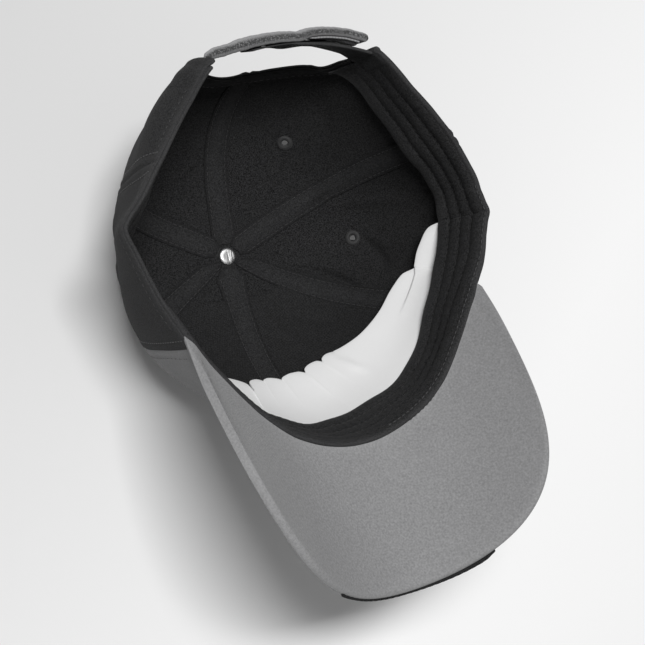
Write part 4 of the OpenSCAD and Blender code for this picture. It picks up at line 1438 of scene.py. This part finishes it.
# The bow of the whole sheet and its power; then a slow warp: height, speed along and speed up
BOW, BOW_POWER, WARP, WARP_ALONG, WARP_UP = 1.7, 1.5, 0.4, 3.3, 2
# A small knock in the sheet: depth, then station and share of the height, each with its reach
KNOCK, KNOCK_AT, KNOCK_WIDE, KNOCK_UP, KNOCK_TALL = 0.9, 0.9, 0.06, 0.67, 0.16
INSERT_ROWS, TIP_POINTS = 60, 300


def card_white():
    """White satin sheet with a faint fibre and soft handling marks."""
    f = Finish("white_sheet")
    fibre = f.noise(900, 3, f.place((1, 1, 5)))
    marks = f.noise(45, 3)
    return f.done(Base_Color=f.mix(marks * 0.6 + fibre * 0.4, 0.82, 0.9), Roughness=fibre.between(0.5, 0.65),
                  Normal=f.bump(fibre, 0.03))


def insert_sheet():
    """Lines from the tucked foot to the top edge, bowed towards the front. A petal's far side goes behind the
    next one, and at the right the part above a crease goes behind the flap."""
    u, top_depth, t = insert_edge()
    s = even(0, 1, INSERT_ROWS)[:, None]
    foot_lat = lat_at(np.full_like(u, insert_low))
    tips = np.interp(u, *curve_through(TIPS, TIP_POINTS).T)
    foot, edge = layer(u, foot_lat, -INSERT_FOOT), layer(u, lat_at(tips), -INSERT_STAND)
    edge = foot + (edge - foot) * ((top_depth - insert_low) / (tips - insert_low))[:, None]
    normal = outward(wall, u, foot_lat)
    from_top = (1 - s) * np.linalg.norm(edge - foot, axis=-1)
    lap = LAP * (t - 0.5) * np.exp(-from_top / LAP_LENGTH)
    past = insert_low + (top_depth - insert_low) * s - CREASE_DEPTH + CREASE_FALL * (u - CREASE_FROM)
    crease = CREASE_H * np.tanh(past / CREASE_SHARP) * bell(past, CREASE_REACH)
    crease = crease * smooth((u - CREASE_FROM) / CREASE_COME) * smooth((CREASE_TO - u) / CREASE_GO)
    bow = BOW * np.sin(np.pi * s) ** BOW_POWER + WARP * np.sin(u * WARP_ALONG + WARP_UP * s) * 4 * s * (1 - s)
    knock = KNOCK * bell(u - KNOCK_AT, KNOCK_WIDE) * bell(s - KNOCK_UP, KNOCK_TALL)
    place = foot + (edge - foot) * s[..., None] + (lap + crease + bow - knock)[..., None] * normal
    place, normal = place.transpose(1, 0, 2), normal[:, None]
    return sheet("front_insert", place, place + normal * INSERT_T, [card_white()], "insert_white", "insert")


insert_sheet()
print("insert stands from a depth of", insert_low, "mm to", max(depth for station, depth in TIPS), "mm")

# %% [markdown]
# ## Stitches
# Each stitch is a short bead of thread that dips into the cloth at both ends. A particle system or
# instances on a curve could set them, but they would have to be made real for an export. Here a row of them
# is one array: stitch by ring by side. All the rows of one thread on one body make one piece.

# %% Beads of thread
RINGS, SIDES = 5, 6
STITCH_GAP = 0.8
# A bead, in shares of its thickness: height of its middle, depth of its ends, thickness there, flatness
BEAD_HIGH, BEAD_DEEP, BEAD_END, BEAD_FLAT = 0.42, 0.12, 0.45, 0.75
# Length and girth of a bead on its cloth map
BEAD_L, BEAD_ROUND = 2.3, 1.4
random = np.random.default_rng(7)


def stitch_row(path, normal, pitch=3.1, thick=0.5):
    """Beads along a path: the height over the cloth is half a sine, and so is the thickness."""
    step = np.linalg.norm(np.diff(path, axis=0), axis=-1)
    run = np.insert(np.cumsum(step), 0, 0)
    count = max(1, int(run[-1] / pitch))
    t = even(0, 1, RINGS)
    s = (np.arange(count)[:, None] + 0.5) * run[-1] / count + (t - 0.5) * (pitch - STITCH_GAP)
    at = np.stack([np.interp(s, run, path[:, k]) for k in range(3)], -1)
    up = unit(np.stack([np.interp(s, run, normal[:, k]) for k in range(3)], -1))
    way = unit(np.gradient(at, axis=1))
    side = unit(np.cross(up, way))
    high = thick * (BEAD_HIGH * np.sin(np.pi * t) - BEAD_DEEP)[None, :, None]
    r = thick / 2 * (BEAD_END + (1 - BEAD_END) * np.sin(np.pi * t))[None, :, None, None]
    a = even(0, TAU, SIDES + 1)[:-1]
    ring = np.cos(a)[:, None] * side[:, :, None] + BEAD_FLAT * np.sin(a)[:, None] * up[:, :, None]
    return (at + high * up)[:, :, None] + r * ring


def stitched(name, rows, look):
    """Joins rows of beads into one piece."""
    beads = np.concatenate(rows)
    n = len(beads)
    index = np.arange(n * RINGS * SIDES).reshape(n, RINGS, SIDES)
    follow = np.roll(index, -1, axis=2)
    quads = np.stack([index[:, :-1], follow[:, :-1], follow[:, 1:], index[:, 1:]], -1).reshape(-1, 4)
    faces = quads.tolist() + np.concatenate([index[:, 0, ::-1], index[:, -1]]).tolist()
    shade = np.repeat(random.random(n), RINGS * SIDES)
    uv = np.stack(np.broadcast_arrays(even(0, BEAD_L, RINGS)[:, None], even(0, BEAD_ROUND, SIDES)), -1)
    uv = np.tile(uv.reshape(-1, 2), (n, 1))
    add_piece(name, beads.reshape(-1, 3), faces, [look], "crown", (), "thread_dark", uv, shade=shade)
    print(name, n, "stitches")


print("faces of a stitch:", SIDES * (RINGS - 1) + 2)

# %% Rows on the crown
# Radii round the top at which the rows beside the seams end, outside and inside
OUTSIDE_END_R, INSIDE_END_R = 11, 10
# Depths at which those rows start: from the rim, from the arch, from the end of a tape
FROM_RIM, FROM_ARCH, FROM_TAPE = 2, 3, 1
RIM_ROW_DEPTH, RIM_ROW_FROM = 5.0, FRONT_SIDE + 0.06
# Rows beside the arch: distance from it, outside and inside the cap, and how far over the strap they end
ARCH_OUT, ARCH_IN, ARCH_CLEAR = 3.0, 6.6, 1.5
# Turn of those rows round the arch in degrees, and the thickness of the thin thread
ARCH_TURN, THIN_THREAD = (4, 176), 0.4
PROUD, TAPE_PROUD, RIM_PROUD = 0.05, -0.1, -0.1
SEAM_POINTS, RIM_ROW_POINTS, ARCH_POINTS = 120, 400, 260


def wall_row(u, lat, d, sign, **options):
    """Row of stitches on a layer of the crown; sign is 1 outside and -1 inside."""
    return stitch_row(layer(u, lat, d), sign * outward(wall, u, lat), **options)


def seam_row(u0, offset, low, d, sign, end_r, **options):
    """Row beside a seam, from a depth to a ring round the top."""
    u0 = SEAM_AT[u0]
    lat = lat_share(u0, lat_at(low), lat_near_top(u0, end_r), even(0, 1, SEAM_POINTS))
    return wall_row(u0 + offset / station_mm(u0, lat), lat, d, sign, **options)


out_d = PANEL_T + seam_relief(TOPSTITCH_IN) + PROUD
tape_d = -LAYER_GAP - TAPE_LOOK_T - TAPE_PROUD
binding_d = -BEND_GAP - TAPE_T - PROUD
outside_rows, inside_rows, rim_rows = [], [], []
for name, station in TAPES.items():
    low = arch_at(station) + (FROM_ARCH if station == BACK else FROM_RIM)
    tape_low = tape_start[name] + FROM_TAPE
    for offset in (-TOPSTITCH_IN, TOPSTITCH_IN):
        outside_rows.append(seam_row(station, offset, low, out_d, 1, OUTSIDE_END_R))
        inside_rows.append(seam_row(station, offset, tape_low, tape_d, -1, INSIDE_END_R, thick=THIN_THREAD))
for low, high in ((-band_end, -RIM_ROW_FROM), (RIM_ROW_FROM, band_end)):
    stations = even(low, high, RIM_ROW_POINTS)
    rim_rows.append(wall_row(stations, lat_at(RIM_ROW_DEPTH), PANEL_T + RIM_PROUD, 1, thick=THIN_THREAD))
arch_rows = ((ARCH_OUT, PANEL_T + PROUD, 1, outside_rows), (ARCH_IN, binding_d, -1, inside_rows))
for grow, d, sign, rows in arch_rows:
    u, depth = arch_ring(np.radians(even(*ARCH_TURN, ARCH_POINTS)), grow)
    over = depth > STRAP_TOP + STRAP_H + ARCH_CLEAR
    rows.append(wall_row(u[over], lat_at(depth[over]), d, sign))
stitched("crown_topstitch", outside_rows, pale_thread)
stitched("lining_stitch", inside_rows, lining_thread)
stitched("rim_stitch", rim_rows, dark_thread)

# %% Rows on the sweatband
# Rows on the sweatband's fold: place in the profile, and the stations between which they show
FOLD_ROWS = ((9, 0.3, 3.2), (2, 0.5, FRONT_SIDE))
BAND_THREAD, FOLD_PITCH = 0.42, 2.7
band_u = even(-band_end, band_end, len(band_face))
ribbed = np.abs(band_u) < band_end - BAND_FADE / 2
grooves = [np.argmin(np.abs(band_share - groove / RIBS)) for groove in range(1, RIBS)]
band_rows = [stitch_row(band_face[ribbed, k], band_inward[ribbed, k], thick=BAND_THREAD) for k in grooves]
fold_rows = []
for k, low, high in FOLD_ROWS:
    part = (band_u > low) & (band_u < high)
    fold_rows.append(stitch_row(band_face[part, k], band_inward[part, k], pitch=FOLD_PITCH))
stitched("sweatband_stitch", band_rows, lining_thread)
stitched("fold_stitch", fold_rows, pale_thread)

# %% [markdown]
# ## Floor and light
# A pale floor lies under the button. One broad lamp stands nearly overhead and the world fills the shadows,
# at a level at which a colour renders about as it is written. More lamps could lift the darkest folds, but
# one main lamp keeps the shadows as simple as in the photograph.

# %% Floor
FLOOR_GAP, FLOOR_HALF = 0.0002, 6.0
# Painted light and shade on the floor: its gray levels, how fast the dark goes to the light by the metre,
# and the share in the middle
FLOOR_DARK, FLOOR_LIGHT, FLOOR_FADE, FLOOR_MIDDLE = 0.53, 0.9, 1.5, 0.59


def pale_floor():
    """Flat square under the object, painted paler towards the wearer's right and front as light and darker
    away from them as shade, marked as stage.
    """
    mesh = bpy.data.meshes.new("floor")
    corners = FLOOR_HALF * np.array([(-1, -1), (1, -1), (1, 1), (-1, 1)])
    mesh.from_pydata([(x, y, cad_low.z - FLOOR_GAP) for x, y in corners], [], [(0, 1, 2, 3)])
    f = Finish("pale_floor")
    across, back = (f.node("ShaderNodeSeparateXYZ", {}, {0: f.place()}, k) for k in (0, 1))
    share = ((across - back) * FLOOR_FADE + FLOOR_MIDDLE).clamped()
    mesh.materials.append(f.done(Base_Color=f.mix(share, FLOOR_DARK, FLOOR_LIGHT), Roughness=0.9))
    floor = add_object("floor", mesh)
    floor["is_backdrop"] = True


pale_floor()
print("floor at", round(cad_low.z - FLOOR_GAP, 4), "m")

# %% Light
# The lamp, in metres: the point it is aimed at, and its direction and distance from there
LAMP_AIM, LAMP_WAY, LAMP_FAR = (0, -0.04, -0.05), (-0.256, 0.228, 1), 3.0
LAMP_SIZE, LAMP_WATTS = (1.15, 0.42), 86
# Which way the lamp's own upright is turned, and the strength of the light from all round
LAMP_UP, WORLD_LIGHT = (0, 1, 0.001), 0.235


def overhead_lamp():
    """Rectangular lamp in a direction from a point, turned to it."""
    light = bpy.data.lights.new("overhead", "AREA")
    light.shape, light.energy = "RECTANGLE", LAMP_WATTS
    light.size, light.size_y = LAMP_SIZE
    back = unit(np.array(LAMP_WAY))
    side = unit(np.cross(LAMP_UP, back))
    stand(add_object("overhead", light), side, np.cross(back, side), back, LAMP_AIM + LAMP_FAR * back)


overhead_lamp()
world = bpy.data.worlds.new("studio")
world.use_nodes = True
background = world.node_tree.nodes["Background"].inputs
background["Color"].default_value = rgba(1)
background["Strength"].default_value = WORLD_LIGHT
scene = bpy.context.scene
scene.world = world
scene.view_settings.view_transform = "Standard"
print("lamp:", LAMP_WATTS, "W, world:", WORLD_LIGHT)

# %% [markdown]
# ## Size
# The box of the solids and the box of what is shown are written side by side. A piece that had strayed from
# the frame would show up in them at once, before any picture is looked at.

# %% Size and finish
low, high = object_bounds()
print("CAD box:", [list(cad_low), list(cad_high)])
print("visual box:", [list(low), list(high)])
